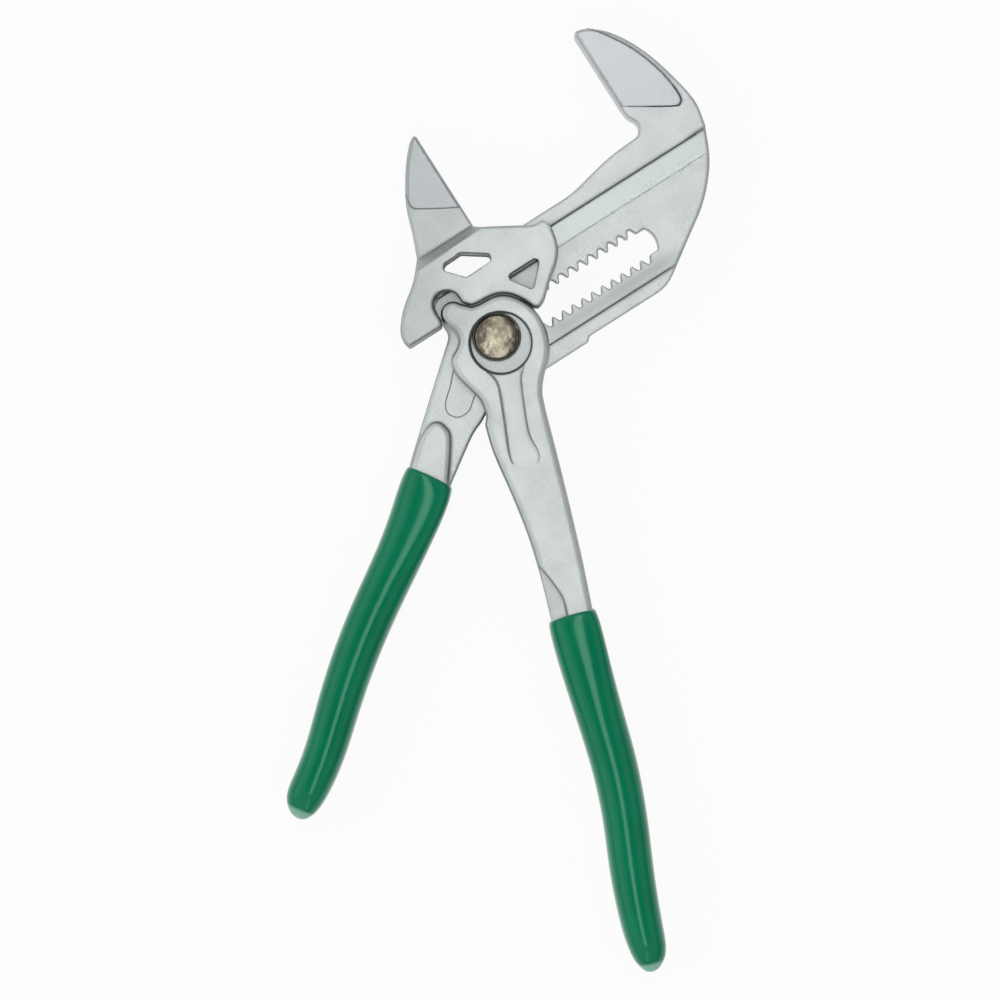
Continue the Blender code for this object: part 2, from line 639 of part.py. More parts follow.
def build_main_lever():
    front = smooth_run([(jaw_x(x), y * RAIL_FOOT_Y) for x, y in BODY_FRONT_SHARES])
    lever = plate("main_lever", main_web_outline(front), WEB / 2, WEB_RIM)
    jaw = fixed_jaw_outline()
    join(lever, plate("jaw", jaw, RAIL / 2, JAW_RIM))

    # The ground flat on each side of the jaw
    rise = JAW_TIP_Y - RAIL_FOOT_Y
    flat_half = RAIL / 2 + FLAT_RISE
    region = smooth_run([(jaw_x(x), RAIL_FOOT_Y + y * rise) for x, y in JAW_FLAT_SHARES[1:-1]], 2)
    for x, y in (JAW_FLAT_SHARES[-1], JAW_FLAT_SHARES[0]):
        region.append((jaw_x(x), RAIL_FOOT_Y + y * rise))
    flat = prism("flat", inset(tidy(jaw), FLAT_MARGIN), MID_Z - flat_half, MID_Z + flat_half)
    combine(flat, prism("region", region, -OVERRUN, THICKNESS + OVERRUN), "INTERSECT")
    join(lever, flat)

    # The thick tongue beside the handle's sweep, and the tang inside the grip
    grip = main_grip_stations()
    rows = tang_stations(grip, MAIN_GRIP_MOUTH, MAIN_GRIP_END, TONGUE / 2)
    span = MAIN_GRIP_MOUTH - TONGUE_START
    right = [(TONGUE_START + s * span, a * MAIN_ARM_WIDTH) for s, a in TONGUE_RIGHT_SHARES]
    left = [(TONGUE_START + s * span, a * MAIN_ARM_WIDTH) for s, a in TONGUE_LEFT_SHARES]
    outline = [arm_point(MAIN_ARM_ANGLE, s, r) for s, _, r, _ in reversed(rows)]
    outline += [arm_point(MAIN_ARM_ANGLE, s, a) for s, a in smooth_run(right + left)]
    outline += [arm_point(MAIN_ARM_ANGLE, s, l) for s, l, _, _ in rows]
    join(lever, plate("tongue", outline, TONGUE / 2, TONGUE_RIM))

    # The machined track beside the slot and the lower band
    far = FIXED_FACE_X + JAW_DEPTH + OVERRUN
    track = [(SHOULDER_X - OVERRUN, TRACK_Y), (far, TRACK_Y), (far, RAIL_FOOT_Y),
             (SHOULDER_X - OVERRUN, RAIL_FOOT_Y)]
    cut_both_faces(lever, "track", track, WEB / 2 - TRACK_SINK, WEB / 2)
    band_end = FIXED_FACE_X - JAW_DEPTH * 0.4
    low = LOWER_EDGE_Y - OVERRUN * 2
    band = [(0, low), (band_end, low), (band_end, LOWER_BAND_Y), (0, LOWER_BAND_Y)]
    cut_both_faces(lever, "band", band, WEB / 2 - LOWER_SINK, WEB / 2)

    cut(lever, prism("slot", slot_outline(), 0, THICKNESS))
    finish(lever, (0.62, 0.64, 0.64), 0.34, 1.0)


# Sliding jaw

def head_outline():
    """The handle's head, from the arm's right side over the nose to the arm's left side."""
    right = smooth_run([(x * HEAD_RADIUS, y * HEAD_RADIUS) for x, y in HEAD_RIGHT_SHARES])
    flank = [(x * HEAD_RADIUS, y * HEAD_RADIUS) for x, y in NOSE_FLANK_SHARES]
    nose = arc_run((NOSE_X, NOSE_Y), NOSE_RADIUS, NOSE_ARC[0], NOSE_ARC[1], 10)
    left = smooth_run([(x * HEAD_RADIUS, y * HEAD_RADIUS) for x, y in HEAD_LEFT_SHARES])
    return right, flank, nose, left


def saddle_outline():
    """Both cheeks' outline, up to the foot of the slope under the jaw."""
    right, flank, nose, _ = head_outline()
    beside = right[HEAD_SEAT_KNOT * CURVE_PIECES:] + flank + nose[:1]
    seat = []
    for before, here, after in zip(beside, beside[1:], beside[2:]):
        way = Vector((after[0] - before[0], after[1] - before[1])).normalized()
        seat.append((here[0] + way.y * HEAD_SEAT_GAP, here[1] - way.x * HEAD_SEAT_GAP))
    seat.reverse()
    low = SADDLE_LOW_Y
    wall_left = NOSE_X - NOSE_RADIUS - SOCKET_SIDE_GAP
    wall_right = NOSE_X + NOSE_RADIUS + SOCKET_SIDE_GAP
    top = NOSE_TOP_CLOSED + SOCKET_TOP_ROOM
    lobe_low = [(SLIDING_FACE_X - SADDLE_BACK * 0.985, low), (wall_left - NOSE_RADIUS * 0.2, low),
                (wall_left, low + NOSE_RADIUS * 0.4)]
    socket = arc_run((NOSE_X, top - NOSE_RADIUS), NOSE_RADIUS + SOCKET_SIDE_GAP, pi, 0, 8)
    mouth = [(wall_right, NOSE_Y + NOSE_RADIUS * 0.42)]
    reach = FOOT_REACH
    foot = smooth_run([(SLIDING_FACE_X + x * reach, y * SLOPE_FOOT_Y) for x, y in SADDLE_FOOT_SHARES], 2)
    shoulder = [(SLIDING_FACE_X + x * reach, y * SLOPE_FOOT_Y) for x, y in SADDLE_SHOULDER_SHARES]
    rise = SLOPE_FOOT_Y - low
    jaw_foot_x = SLIDING_FACE_X - SADDLE_JAW_SHARES[-1][0] * SADDLE_BACK
    lobe = [(jaw_foot_x, SLOPE_FOOT_Y)]
    lobe += [(SLIDING_FACE_X - x * SADDLE_BACK, low + y * rise) for x, y in SADDLE_LOBE_SHARES]
    outline = lobe_low + socket + mouth + seat + foot + shoulder
    outline += [(SLIDING_FACE_X, SLOPE_FOOT_Y)]
    outline += smooth_run(lobe)
    return outline


def sliding_jaw_outline():
    """The jaw above the slope, carried down inside the saddle."""
    rise = JAW_TIP_Y - SLOPE_FOOT_Y
    back = smooth_run([(SLIDING_FACE_X - x * SADDLE_BACK, SLOPE_FOOT_Y + y * rise)
                       for x, y in SADDLE_JAW_SHARES])
    tip = (SLIDING_FACE_X, JAW_TIP_Y)
    root_y = (CHANNEL_TOP_Y + SLOPE_FOOT_Y) / 2
    outline = [(SLIDING_FACE_X - OVERRUN, root_y), (SLIDING_FACE_X - OVERRUN, SLOPE_FOOT_Y),
               (SLIDING_FACE_X, SLOPE_FOOT_Y)]
    outline += fillet_run(outline[-1], tip, back[1], TIP_RADIUS)
    outline += back[1:]
    outline += [(back[-1][0] + OVERRUN, root_y)]
    return outline


def slope_cutter(side):
    """The wedge that takes a cheek down to the jaw's thickness, its crest slightly tilted."""
    left = SLIDING_FACE_X - SADDLE_BACK
    right = SLIDING_FACE_X + FOOT_REACH
    deep = RAIL / 2 - WEB_RIM / 5
    high = MID_Z + OVERRUN * 2
    far = SLOPE_FOOT_Y + OVERRUN * 2
    ends = []
    for x, tilt in ((left, -CREST_TILT), (right, CREST_TILT)):
        crest = CREST_Y + tilt
        pitch = (MID_Z - deep) / (SLOPE_FOOT_Y - crest)
        before = crest - OVERRUN
        profile = [(before, MID_Z + pitch * OVERRUN), (SLOPE_FOOT_Y, deep), (far, deep),
                   (far, high + pitch * OVERRUN), (before, high + pitch * OVERRUN)]
        ends.append([(x, y, MID_Z + side * z) for y, z in profile])
    return from_rings("slope", ends)


def build_sliding_jaw():
    jaw = plate("sliding_jaw", saddle_outline(), MID_Z, SADDLE_RIM)
    for side in (-1, 1):
        cut(jaw, slope_cutter(side))
    blade = sliding_jaw_outline()
    join(jaw, plate("blade", blade, RAIL / 2, JAW_RIM))

    # The ground flat on each side
    rise = JAW_TIP_Y - SLOPE_FOOT_Y
    flat_half = RAIL / 2 + FLAT_RISE
    corners = [(SLIDING_FACE_X - x * SADDLE_BACK, SLOPE_FOOT_Y + y * rise) for x, y in SADDLE_FLAT_SHARES]
    flat = prism("flat", inset(tidy(blade), FLAT_MARGIN), MID_Z - flat_half, MID_Z + flat_half)
    region = prism("region", rounded(corners, WINDOW_RADIUS), -OVERRUN, THICKNESS + OVERRUN)
    combine(flat, region, "INTERSECT")
    join(jaw, flat)

    # The channel that straddles the main lever, wider over the rail than over the web
    left = SLIDING_FACE_X - SADDLE_BACK - OVERRUN
    right = SLIDING_FACE_X + FOOT_REACH + OVERRUN
    ledge = RAIL_FOOT_Y - GAP
    rail_half = RAIL / 2 + GAP
    relief = SLIDING_FACE_X - FACE_RELIEF
    relief_y = SADDLE_SHOULDER_SHARES[-1][1] * SLOPE_FOOT_Y
    channel = [(left, ledge), (right, ledge), (right, relief_y), (relief, relief_y),
               (relief, CHANNEL_TOP_Y), (left, CHANNEL_TOP_Y)]
    cut(jaw, prism("rail_channel", channel, MID_Z - rail_half, MID_Z + rail_half))
    web_channel = [(left, -OVERRUN), (right, -OVERRUN), (right, ledge + GAP), (left, ledge + GAP)]
    cut(jaw, prism("web_channel", web_channel, MID_Z - CHEEK_INNER, MID_Z + CHEEK_INNER))

    # The three-cornered window and the hole over the rail
    window = [(SLIDING_FACE_X + x * FOOT_REACH, y * SLOPE_FOOT_Y) for x, y in WINDOW_SHARES]
    hole = [(SLIDING_FACE_X - x * SADDLE_BACK, y * SLOPE_FOOT_Y) for x, y in HOLE_SHARES]
    for corners in (window, hole):
        cut(jaw, prism("window", rounded(corners, WINDOW_RADIUS), -OVERRUN, THICKNESS + OVERRUN))
    finish(jaw, (0.6, 0.62, 0.63), 0.33, 1.0)


# Handle lever

def handle_arm_stations():
    span = HANDLE_GRIP_MOUTH - HANDLE_ARM_ROOT
    rows = [(HANDLE_ARM_ROOT + s * span, l * HANDLE_ARM_WIDTH, r * HANDLE_ARM_WIDTH, h * THICKNESS)
            for s, l, r, h in HANDLE_ARM_SHARES]
    return smooth_run(rows)


def scoop_cutter(side):
    """The waste of the scooped facet on the arm's left, before the grip."""
    arm = handle_arm_stations()
    far = HANDLE_ARM_WIDTH / 2
    span = HANDLE_GRIP_MOUTH - HANDLE_ARM_ROOT
    rings = []
    for s, across in smooth_run(SCOOP_SHARES, 2):
        along = HANDLE_ARM_ROOT + s * span
        half = min(arm, key=lambda row: abs(row[0] - along))[3]
        inner = across * HANDLE_ARM_WIDTH
        section = [(inner, half - SCOOP_STEP), (-far, half - SCOOP_DEPTH), (-far, half + OVERRUN),
                   (inner, half + OVERRUN)]
        ring = []
        for a, height in section:
            x, y = arm_point(HANDLE_ARM_ANGLE, along, a)
            ring.append((x, y, MID_Z + side * height))
        rings.append(ring)
    return from_rings("scoop", rings)


def build_handle_lever():
    right, flank, nose, left = head_outline()
    stations = handle_arm_stations()
    mouth_half = HANDLE_TANG / 2
    grip = handle_grip_stations()
    stations += tang_stations(grip, HANDLE_GRIP_MOUTH, HANDLE_GRIP_END, mouth_half)
    head = right + flank + nose + left
    lever = lever_blank("handle_lever", head, stations, HANDLE_ARM_ANGLE, HEAD_RIM)

    # The fork that straddles the main lever: round the pin, then a notch down the left side
    first = FORK_NOTCH_SHARES[0][1] * HANDLE_ARM_WIDTH
    start = asin(HANDLE_ARM_WIDTH * 0.75 / FORK_DEPTH)
    end = asin(first / FORK_DEPTH)
    far = FORK_DEPTH
    fork = []
    for k in range(11):
        angle = start + (end - start) * k / 10
        fork.append((FORK_DEPTH * cos(angle), FORK_DEPTH * sin(angle)))
    span = FORK_NOTCH_END - HANDLE_ARM_ROOT
    notch = [(FORK_DEPTH, first)]
    for s, a in FORK_NOTCH_SHARES[1:]:
        notch.append((HANDLE_ARM_ROOT + s * span, a * HANDLE_ARM_WIDTH))
    notch.append((FORK_NOTCH_END, -0.36 * HANDLE_ARM_WIDTH))
    notch.append((FORK_NOTCH_END, -far))
    fork += notch[1:]
    fork += [(-far, -far), (-far, far), (fork[0][0], far)]
    outline = [arm_point(HANDLE_ARM_ANGLE, s, a) for s, a in fork]
    cut(lever, prism("fork", outline[::-1], MID_Z - CHEEK_INNER, MID_Z + CHEEK_INNER))

    # The recess round the button, the panel below it, and the bores
    recess = arc_run((0, -RECESS_SHIFT), RECESS_RADIUS, 0, 2 * pi, ROUND_PIECES)[:-1]
    cut(lever, prism("recess", recess, THICKNESS - RECESS_DEPTH, THICKNESS + OVERRUN))
    rows = smooth_run([(s * PANEL_END, a * PANEL_WIDTH) for s, a in PANEL_SHARES])
    panel = [arm_point(HANDLE_ARM_ANGLE, s, a) for s, a in rows]
    cut(lever, prism("panel", panel, THICKNESS - PANEL_DEPTH, THICKNESS + OVERRUN))
    for side in (-1, 1):
        cut(lever, scoop_cutter(side))
    cut(lever, turned("bore", [(BORE_RADIUS, -OVERRUN), (BORE_RADIUS, THICKNESS + OVERRUN)]))
    finish(lever, (0.63, 0.65, 0.65), 0.34, 1.0)


# The lock: toothed pin, button, spring and rear cover

def pin_side(sign):
    """Waste beside the pin's two teeth, on one side of the slot."""
    base = TOOTH_GATE / 2 - GAP
    tip = base + TOOTH_DEPTH
    lean = NOTCH_PITCH * (VALLEY_MOUTH_SHARE - VALLEY_FLOOR_SHARE) / TOOTH_DEPTH
    play = GAP * (hypot(1, lean) - lean)
    wide = NOTCH_PITCH * VALLEY_MOUTH_SHARE - play
    narrow = NOTCH_PITCH * VALLEY_FLOOR_SHARE - play
    far = PIN_RADIUS + OVERRUN
    outline = [(-far, base)]
    for centre in (-NOTCH_PITCH / 2, NOTCH_PITCH / 2):
        outline += [(centre - wide, base), (centre - narrow, tip), (centre + narrow, tip),
                    (centre + wide, base)]
    outline += [(far, base), (far, far), (-far, far)]
    if sign < 0:
        outline = [(x, -y) for x, y in reversed(outline)]
    return outline


def build_lock_pin():
    flange_low = COVER_THICKNESS + GAP
    teeth_low = flange_low + FLANGE_THICKNESS
    teeth_high = teeth_low + LOCK_TRAVEL
    top = THICKNESS - CHEEK - GAP
    pin = turned("lock_pin", [(FLANGE_RADIUS, flange_low), (FLANGE_RADIUS, teeth_low),
                              (PIN_RADIUS, teeth_low), (PIN_RADIUS, top)])
    far = PIN_RADIUS + OVERRUN
    base = TOOTH_GATE / 2 - GAP
    for sign in (-1, 1):
        cut(pin, prism("tooth_waste", pin_side(sign), teeth_low, teeth_high + OVERRUN / 2))
        low, high = sorted((sign * base, sign * far))
        flat = [(-far, low), (far, low), (far, high), (-far, high)]
        cut(pin, prism("flat_waste", flat, teeth_high, top + OVERRUN))
    bore_top = flange_low + SPRING_BORE_DEPTH
    cut(pin, turned("spring_bore", [(SPRING_BORE_RADIUS, -OVERRUN), (SPRING_BORE_RADIUS, bore_top)]))
    hole = STUD_RADIUS + GAP
    cut(pin, turned("stud_hole", [(hole, top - STUD_LENGTH), (hole, top + OVERRUN)]))
    finish(pin, (0.55, 0.55, 0.53), 0.3, 1.0)


def build_push_button():
    under = THICKNESS - CHEEK
    rim_top = under + BUTTON_RIM
    profile = [(STUD_RADIUS, under - STUD_LENGTH), (STUD_RADIUS, under), (BUTTON_RADIUS, under),
               (BUTTON_RADIUS, rim_top - BUTTON_DOME / 4)]
    steps = 6
    for k in range(1, steps):
        turn = k / steps * pi / 2
        profile.append((BUTTON_RADIUS * cos(turn), rim_top + BUTTON_DOME * sin(turn)))
    profile.append((BUTTON_RADIUS * DOME_TIP_SHARE, rim_top + BUTTON_DOME))
    button = turned("push_button", profile)
    finish(button, (0.72, 0.68, 0.62), 0.16, 1.0)


def build_rear_cover():
    edge = COVER_THICKNESS / 4
    radius = BORE_RADIUS - GAP
    cover = turned("rear_cover", [(radius - edge, 0), (radius, edge), (radius, COVER_THICKNESS)])
    finish(cover, (0.5, 0.5, 0.5), 0.4, 1.0)


def build_lock_spring():
    """One unbroken coil in the pin's bore, standing on the rear cover."""
    radius = SPRING_BORE_RADIUS - GAP - SPRING_WIRE / 2
    low = COVER_THICKNESS + GAP + SPRING_WIRE / 2
    high = COVER_THICKNESS + GAP + SPRING_BORE_DEPTH - GAP - SPRING_WIRE / 2
    count = SPRING_TURNS * COIL_POINTS
    points = []
    for k in range(count + 1):
        turn = 2 * pi * k / COIL_POINTS
        points.append(Vector((radius * cos(turn), radius * sin(turn), mix(low, high, k / count))))
    curve = bpy.data.curves.new("lock_spring", "CURVE")
    curve.dimensions = "3D"
    curve.bevel_depth = SPRING_WIRE / 2
    curve.bevel_resolution = COIL_SIDES_LEVEL
    curve.use_fill_caps = True
    spline = curve.splines.new("POLY")
    spline.points.add(len(points) - 1)
    for place, point in zip(spline.points, points):
        place.co = (*point, 1)
    paint(new_object("lock_spring", curve), (0.45, 0.46, 0.47), 0.3, 1.0)
    least = min((a - b).length for i, a in enumerate(points) for b in points[i + COIL_POINTS // 2:])
    print("least gap of the spring to itself: %.2f mm" % ((least - SPRING_WIRE) / MM))


# Grips

def build_main_grip():
    stations = main_grip_stations()
    grip = grip_body("main_grip", stations, MAIN_ARM_ANGLE)
    rows = tang_stations(stations, MAIN_GRIP_MOUTH, MAIN_GRIP_END, TONGUE / 2)
    _, left, right = MAIN_ARM_SHARES[-1]
    mouth = (MAIN_GRIP_MOUTH, left * MAIN_ARM_WIDTH, right * MAIN_ARM_WIDTH, TONGUE / 2)
    hollow_for_tang(grip, rows, mouth, MAIN_ARM_ANGLE, TONGUE_RIM)
    finish(grip, (0.0, 0.16, 0.07), 0.3, 0.0)


def build_handle_grip():
    stations = handle_grip_stations()
    grip = grip_body("handle_grip", stations, HANDLE_ARM_ANGLE)
    rows = tang_stations(stations, HANDLE_GRIP_MOUTH, HANDLE_GRIP_END, HANDLE_TANG / 2)
    _, left, right, half = HANDLE_ARM_SHARES[-1]
    mouth = (HANDLE_GRIP_MOUTH, left * HANDLE_ARM_WIDTH, right * HANDLE_ARM_WIDTH, half * THICKNESS)
    hollow_for_tang(grip, rows, mouth, HANDLE_ARM_ANGLE, HEAD_RIM)
    finish(grip, (0.0, 0.16, 0.07), 0.3, 0.0)


clear_scene()
build_main_lever()
build_sliding_jaw()
build_handle_lever()
build_lock_pin()
build_push_button()
build_rear_cover()
build_lock_spring()
build_main_grip()
build_handle_grip()
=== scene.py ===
# %% [markdown]
# # Adjustable pliers: dressing a CAD model
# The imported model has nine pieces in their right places. This lesson keeps
# every size and only adds what a CAD model leaves out: rounded forging edges,
# soft dipped grips, a polished button, and a finish for every surface.

import json
from math import atan2, cos, pi, radians, sin

import bpy
from mathutils import Matrix, Quaternion, Vector

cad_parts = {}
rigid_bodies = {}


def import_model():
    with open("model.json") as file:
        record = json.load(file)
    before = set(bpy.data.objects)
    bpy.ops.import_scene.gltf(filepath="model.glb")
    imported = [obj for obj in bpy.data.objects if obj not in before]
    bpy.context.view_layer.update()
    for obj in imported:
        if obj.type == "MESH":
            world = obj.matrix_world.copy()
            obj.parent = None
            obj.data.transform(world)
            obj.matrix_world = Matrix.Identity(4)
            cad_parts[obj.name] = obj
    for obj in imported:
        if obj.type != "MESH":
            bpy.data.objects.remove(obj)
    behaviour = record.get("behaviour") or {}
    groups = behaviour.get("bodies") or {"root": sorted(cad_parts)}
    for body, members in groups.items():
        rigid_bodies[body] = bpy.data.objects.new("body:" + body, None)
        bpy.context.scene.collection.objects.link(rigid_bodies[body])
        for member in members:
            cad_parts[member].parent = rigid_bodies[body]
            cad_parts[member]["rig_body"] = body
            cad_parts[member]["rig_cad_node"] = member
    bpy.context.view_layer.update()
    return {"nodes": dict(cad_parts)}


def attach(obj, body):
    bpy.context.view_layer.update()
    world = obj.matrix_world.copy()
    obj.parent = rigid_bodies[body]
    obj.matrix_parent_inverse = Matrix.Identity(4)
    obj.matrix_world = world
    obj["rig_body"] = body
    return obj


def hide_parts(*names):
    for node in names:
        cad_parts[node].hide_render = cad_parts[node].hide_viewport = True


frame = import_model()
MM = 0.001
print("CAD nodes:", sorted(frame["nodes"]))

# %% [markdown]
# ## Camera
# The photograph looks straight down on the tool. Its up direction is turned
# 32.5 degrees from the slot's square, so the camera rolls and nothing else
# turns. A long lens far away keeps the side walls as thin as they look there.

# %% Camera
PHOTO_TURN = radians(-32.5)
VIEW_CENTRE = Vector((-17.37 * MM, -28.53 * MM, 10.5 * MM))
VIEW_WIDTH = 205 * MM
CAMERA_DISTANCE = 800 * MM
SENSOR_WIDTH = 36

camera_data = bpy.data.cameras.new("camera")
camera_data.sensor_width = SENSOR_WIDTH
camera_data.lens = SENSOR_WIDTH * CAMERA_DISTANCE / VIEW_WIDTH
camera_data.clip_end = 10
camera = bpy.data.objects.new("camera", camera_data)
camera.location = VIEW_CENTRE + Vector((0, 0, CAMERA_DISTANCE))
camera.rotation_euler = (0, 0, PHOTO_TURN)
bpy.context.scene.collection.objects.link(camera)
bpy.context.scene.camera = camera
bpy.context.scene.view_settings.view_transform = "Standard"
print("lens %.0f mm" % camera_data.lens)

# %% [markdown]
# ## Colours and nodes
# Three small helpers serve the whole lesson. The first turns the sRGB hex
# values that colours are picked as into a shader's linear light. The others
# feed a node's sockets and add one node with its settings.


# %% Helpers for colours and nodes
def linear(hex_colour):
    """Turns '#RRGGBB' into the linear colour that a shader wants."""
    parts = [int(hex_colour[i:i + 2], 16) / 255 for i in (1, 3, 5)]
    light = [c / 12.92 if c <= 0.04045 else ((c + 0.055) / 1.055) ** 2.4 for c in parts]
    return (*light, 1)


def feed(tree, node, links):
    """Feeds sockets, each from another socket or from the first output of a node."""
    for name, source in dict(links).items():
        if isinstance(source, bpy.types.Node):
            source = source.outputs[0]
        tree.links.new(source, node.inputs[name])


def add_node(tree, kind, settings=(), links=()):
    """Adds a node; settings set its properties or sockets, links feed its sockets."""
    node = tree.nodes.new("ShaderNode" + kind)
    for name, value in dict(settings).items():
        if isinstance(name, str) and hasattr(node, name):
            setattr(node, name, value)
        else:
            node.inputs[name].default_value = value
    feed(tree, node, links)
    return node


print("#808080 is %.3f" % linear("#808080")[0])

# %% [markdown]
# ## The white table
# The tool lies on a white table with a very soft shadow. More light would
# whiten the steel too, so the table shows a plain white to the camera and to
# mirrors instead, and keeps a little of its lit colour for the shadow.

# %% The floor
PLAIN_WHITE_SHARE = 0.93


def white_table():
    material = bpy.data.materials.new("white_table")
    material.use_nodes = True
    tree = material.node_tree
    tree.nodes.clear()
    rays = add_node(tree, "LightPath").outputs
    mirrored = add_node(tree, "Math", {"operation": "MAXIMUM"},
                        {0: rays["Is Glossy Ray"], 1: rays["Is Transmission Ray"]})
    seen = add_node(tree, "Math", {"operation": "MAXIMUM"},
                    {0: rays["Is Camera Ray"], 1: mirrored})
    share = add_node(tree, "Math", {"operation": "MULTIPLY", 1: PLAIN_WHITE_SHARE}, {0: seen})
    lit = add_node(tree, "BsdfDiffuse", {"Color": linear("#F2F2F2")})
    white = add_node(tree, "Emission", {"Strength": 1.0})
    mixed = add_node(tree, "MixShader", {}, {0: share, 1: lit, 2: white})
    add_node(tree, "OutputMaterial", {}, {"Surface": mixed})
    return material


bpy.ops.mesh.primitive_plane_add(size=8, location=(0, 0, -0.05 * MM))
floor = bpy.context.active_object
floor.name = "floor"
floor.data.materials.append(white_table())
print("floor made, 0.05 mm under the tool")

# %% [markdown]
# ## The room
# Satin chrome shows little but the room that it mirrors. A flat face mirrors
# what is overhead, so a dark hole there gives the greys of the photograph,
# and a darker horizon gives the side walls their depth. The left is brighter
# than the right, as in the photograph. Three ramps do this without a picture.

# %% The world
world = bpy.data.worlds.new("studio")
bpy.context.scene.world = world
world.use_nodes = True
tree = world.node_tree
tree.nodes.clear()
direction = add_node(tree, "TexCoord").outputs["Generated"]
height = add_node(tree, "SeparateXYZ", {}, {"Vector": direction}).outputs["Z"]
rightward = Vector((cos(PHOTO_TURN), sin(PHOTO_TURN), 0))
aside = add_node(tree, "VectorMath", {"operation": "DOT_PRODUCT", 1: rightward},
                 {0: direction}).outputs["Value"]
# Each row: what is read, where its ramp starts and ends, and the light at both
LIGHT_RAMPS = [("SMOOTHSTEP", height, 0.0, 0.45, 0.3, 0.75),
               ("SMOOTHSTEP", height, 0.88, 0.95, 1.0, 0.2),
               ("LINEAR", aside, -0.8, 0.8, 1.15, 0.55)]
room = None
for change, reading, start, end, first, last in LIGHT_RAMPS:
    ramp = add_node(tree, "MapRange",
                    {"interpolation_type": change, "From Min": start, "From Max": end,
                     "To Min": first, "To Max": last}, {"Value": reading})
    if room:
        ramp = add_node(tree, "Math", {"operation": "MULTIPLY"}, {0: room, 1: ramp})
    room = ramp
sky = add_node(tree, "Background", {"Color": (1, 1, 1, 1)}, {"Strength": room})
add_node(tree, "OutputWorld", {}, {"Surface": sky})
print("world made of", len(LIGHT_RAMPS), "ramps")

# %% [markdown]
# ## Lamps
# The grips carry a narrow highlight along their crown, which comes from one
# long strip lamp over the lens and a weaker one at the photograph's foot. Two
# soft boxes at the sides fill the rest. They are placed by the photograph's
# own directions, and one function turns these to the tool's frame.


# %% Lamps
def from_photo(right, up, height):
    """A point given by the photograph's right and up from the pivot, and its height."""
    return Vector((right * cos(PHOTO_TURN) - up * sin(PHOTO_TURN),
                   right * sin(PHOTO_TURN) + up * cos(PHOTO_TURN), height))


def softbox(name, right, up, height, size, power):
    """A rectangular lamp, size = (across the photograph, along it), aimed at the tool."""
    data = bpy.data.lights.new(name, "AREA")
    data.shape = "RECTANGLE"
    data.size, data.size_y = size
    data.energy = power
    lamp = bpy.data.objects.new(name, data)
    lamp.location = from_photo(right, up, height)
    turn = (VIEW_CENTRE - lamp.location).to_track_quat("-Z", "Y")
    wanted = turn.inverted() @ from_photo(0, 1, 0)
    spin = Quaternion((0, 0, 1), atan2(-wanted.x, wanted.y))
    lamp.rotation_euler = (turn @ spin).to_euler()
    lamp.visible_camera = False
    bpy.context.scene.collection.objects.link(lamp)


softbox("strip_over_the_lens", 0.02, 0.0, 0.95, (0.17, 1.2), 2.3)
softbox("strip_at_the_foot", 0.02, -1.1, 0.75, (0.2, 0.7), 0.5)
softbox("wall_left", -0.9, 0.1, 0.55, (0.7, 1.2), 1.0)
softbox("wall_right", 0.8, 0.0, 0.75, (0.35, 1.2), 0.4)

# %% [markdown]
# ## Satin chrome on a blasted forging
# The two levers and the jaw are chrome vanadium steel, hammer forged. They were shot-blasted and
# then thinly chrome plated. The plating follows every dent of the shot, so the eye gets a pale
# grey satin with a fine grain. Three things break it up: the jaws' flats were ground after the
# plating, the track is worn smooth by the sliding jaw, and corners get a painted shade.
#
# All three follow places on the tool, so the material measures where a point
# lies and asks whether that is inside a zone. Painting an image would need a
# file and an unwrapped mesh. Zones need neither.

# %% Helpers for finishes
MIDDLE_Z = 6.5 * MM


def new_finish(name):
    """A new material, its tree, its shader, and the place on the piece for patterns."""
    material = bpy.data.materials.new(name)
    material.use_nodes = True
    tree = material.node_tree
    place = add_node(tree, "TexCoord").outputs["Object"]
    return material, tree, tree.nodes["Principled BSDF"], place


def between(tree, value, low, high, soft):
    """1 where the value lies between low and high, 0 outside, with soft borders."""
    up = add_node(tree, "MapRange", {"From Min": low - soft, "From Max": low + soft},
                  {"Value": value})
    down = add_node(tree, "MapRange", {"From Min": high - soft, "From Max": high + soft,
                                       "To Min": 1.0, "To Max": 0.0}, {"Value": value})
    return add_node(tree, "Math", {"operation": "MULTIPLY"}, {0: up, 1: down})


def flatness(tree, normal):
    """1 where a face lies flat and 0 where it is a wall, read from the named normal."""
    normal = add_node(tree, "NewGeometry").outputs[normal]
    upward = add_node(tree, "SeparateXYZ", {}, {"Vector": normal}).outputs["Z"]
    return add_node(tree, "Math", {"operation": "ABSOLUTE"}, {0: upward})


def two_tones(tree, pattern, start, end, first, last):
    """A colour that goes from one hex value to another while a pattern goes from start to end."""
    share = add_node(tree, "MapRange", {"From Min": start, "From Max": end}, {"Value": pattern})
    tones = {"data_type": "RGBA", 6: linear(first), 7: linear(last)}
    return add_node(tree, "Mix", tones, {"Factor": share}).outputs[2]


print("the tool's middle plane is %.1f mm up" % (MIDDLE_Z / MM))

# %% [markdown]
# The zones are written as a table, in millimetres. Level is the distance from
# the middle plane, so that a zone lies on front and rear alike. The other
# readings are x, y and the distance from a few spots.

# %% Zones of the forgings
RECESS_CENTRE = (0.0, -1.5)
SPOTS = {"pin": (0.0, 0.0), "recess": RECESS_CENTRE, "saddle": (6.5, 12.0),
         "diamond window": (3.0, 16.1), "triangle window": (12.3, 7.1),
         "nose socket": (-5.4, 10.5)}
TRACK = {"y": (8.7, 13.4, 0.05), "level": (1.0, 2.65, 0.03)}
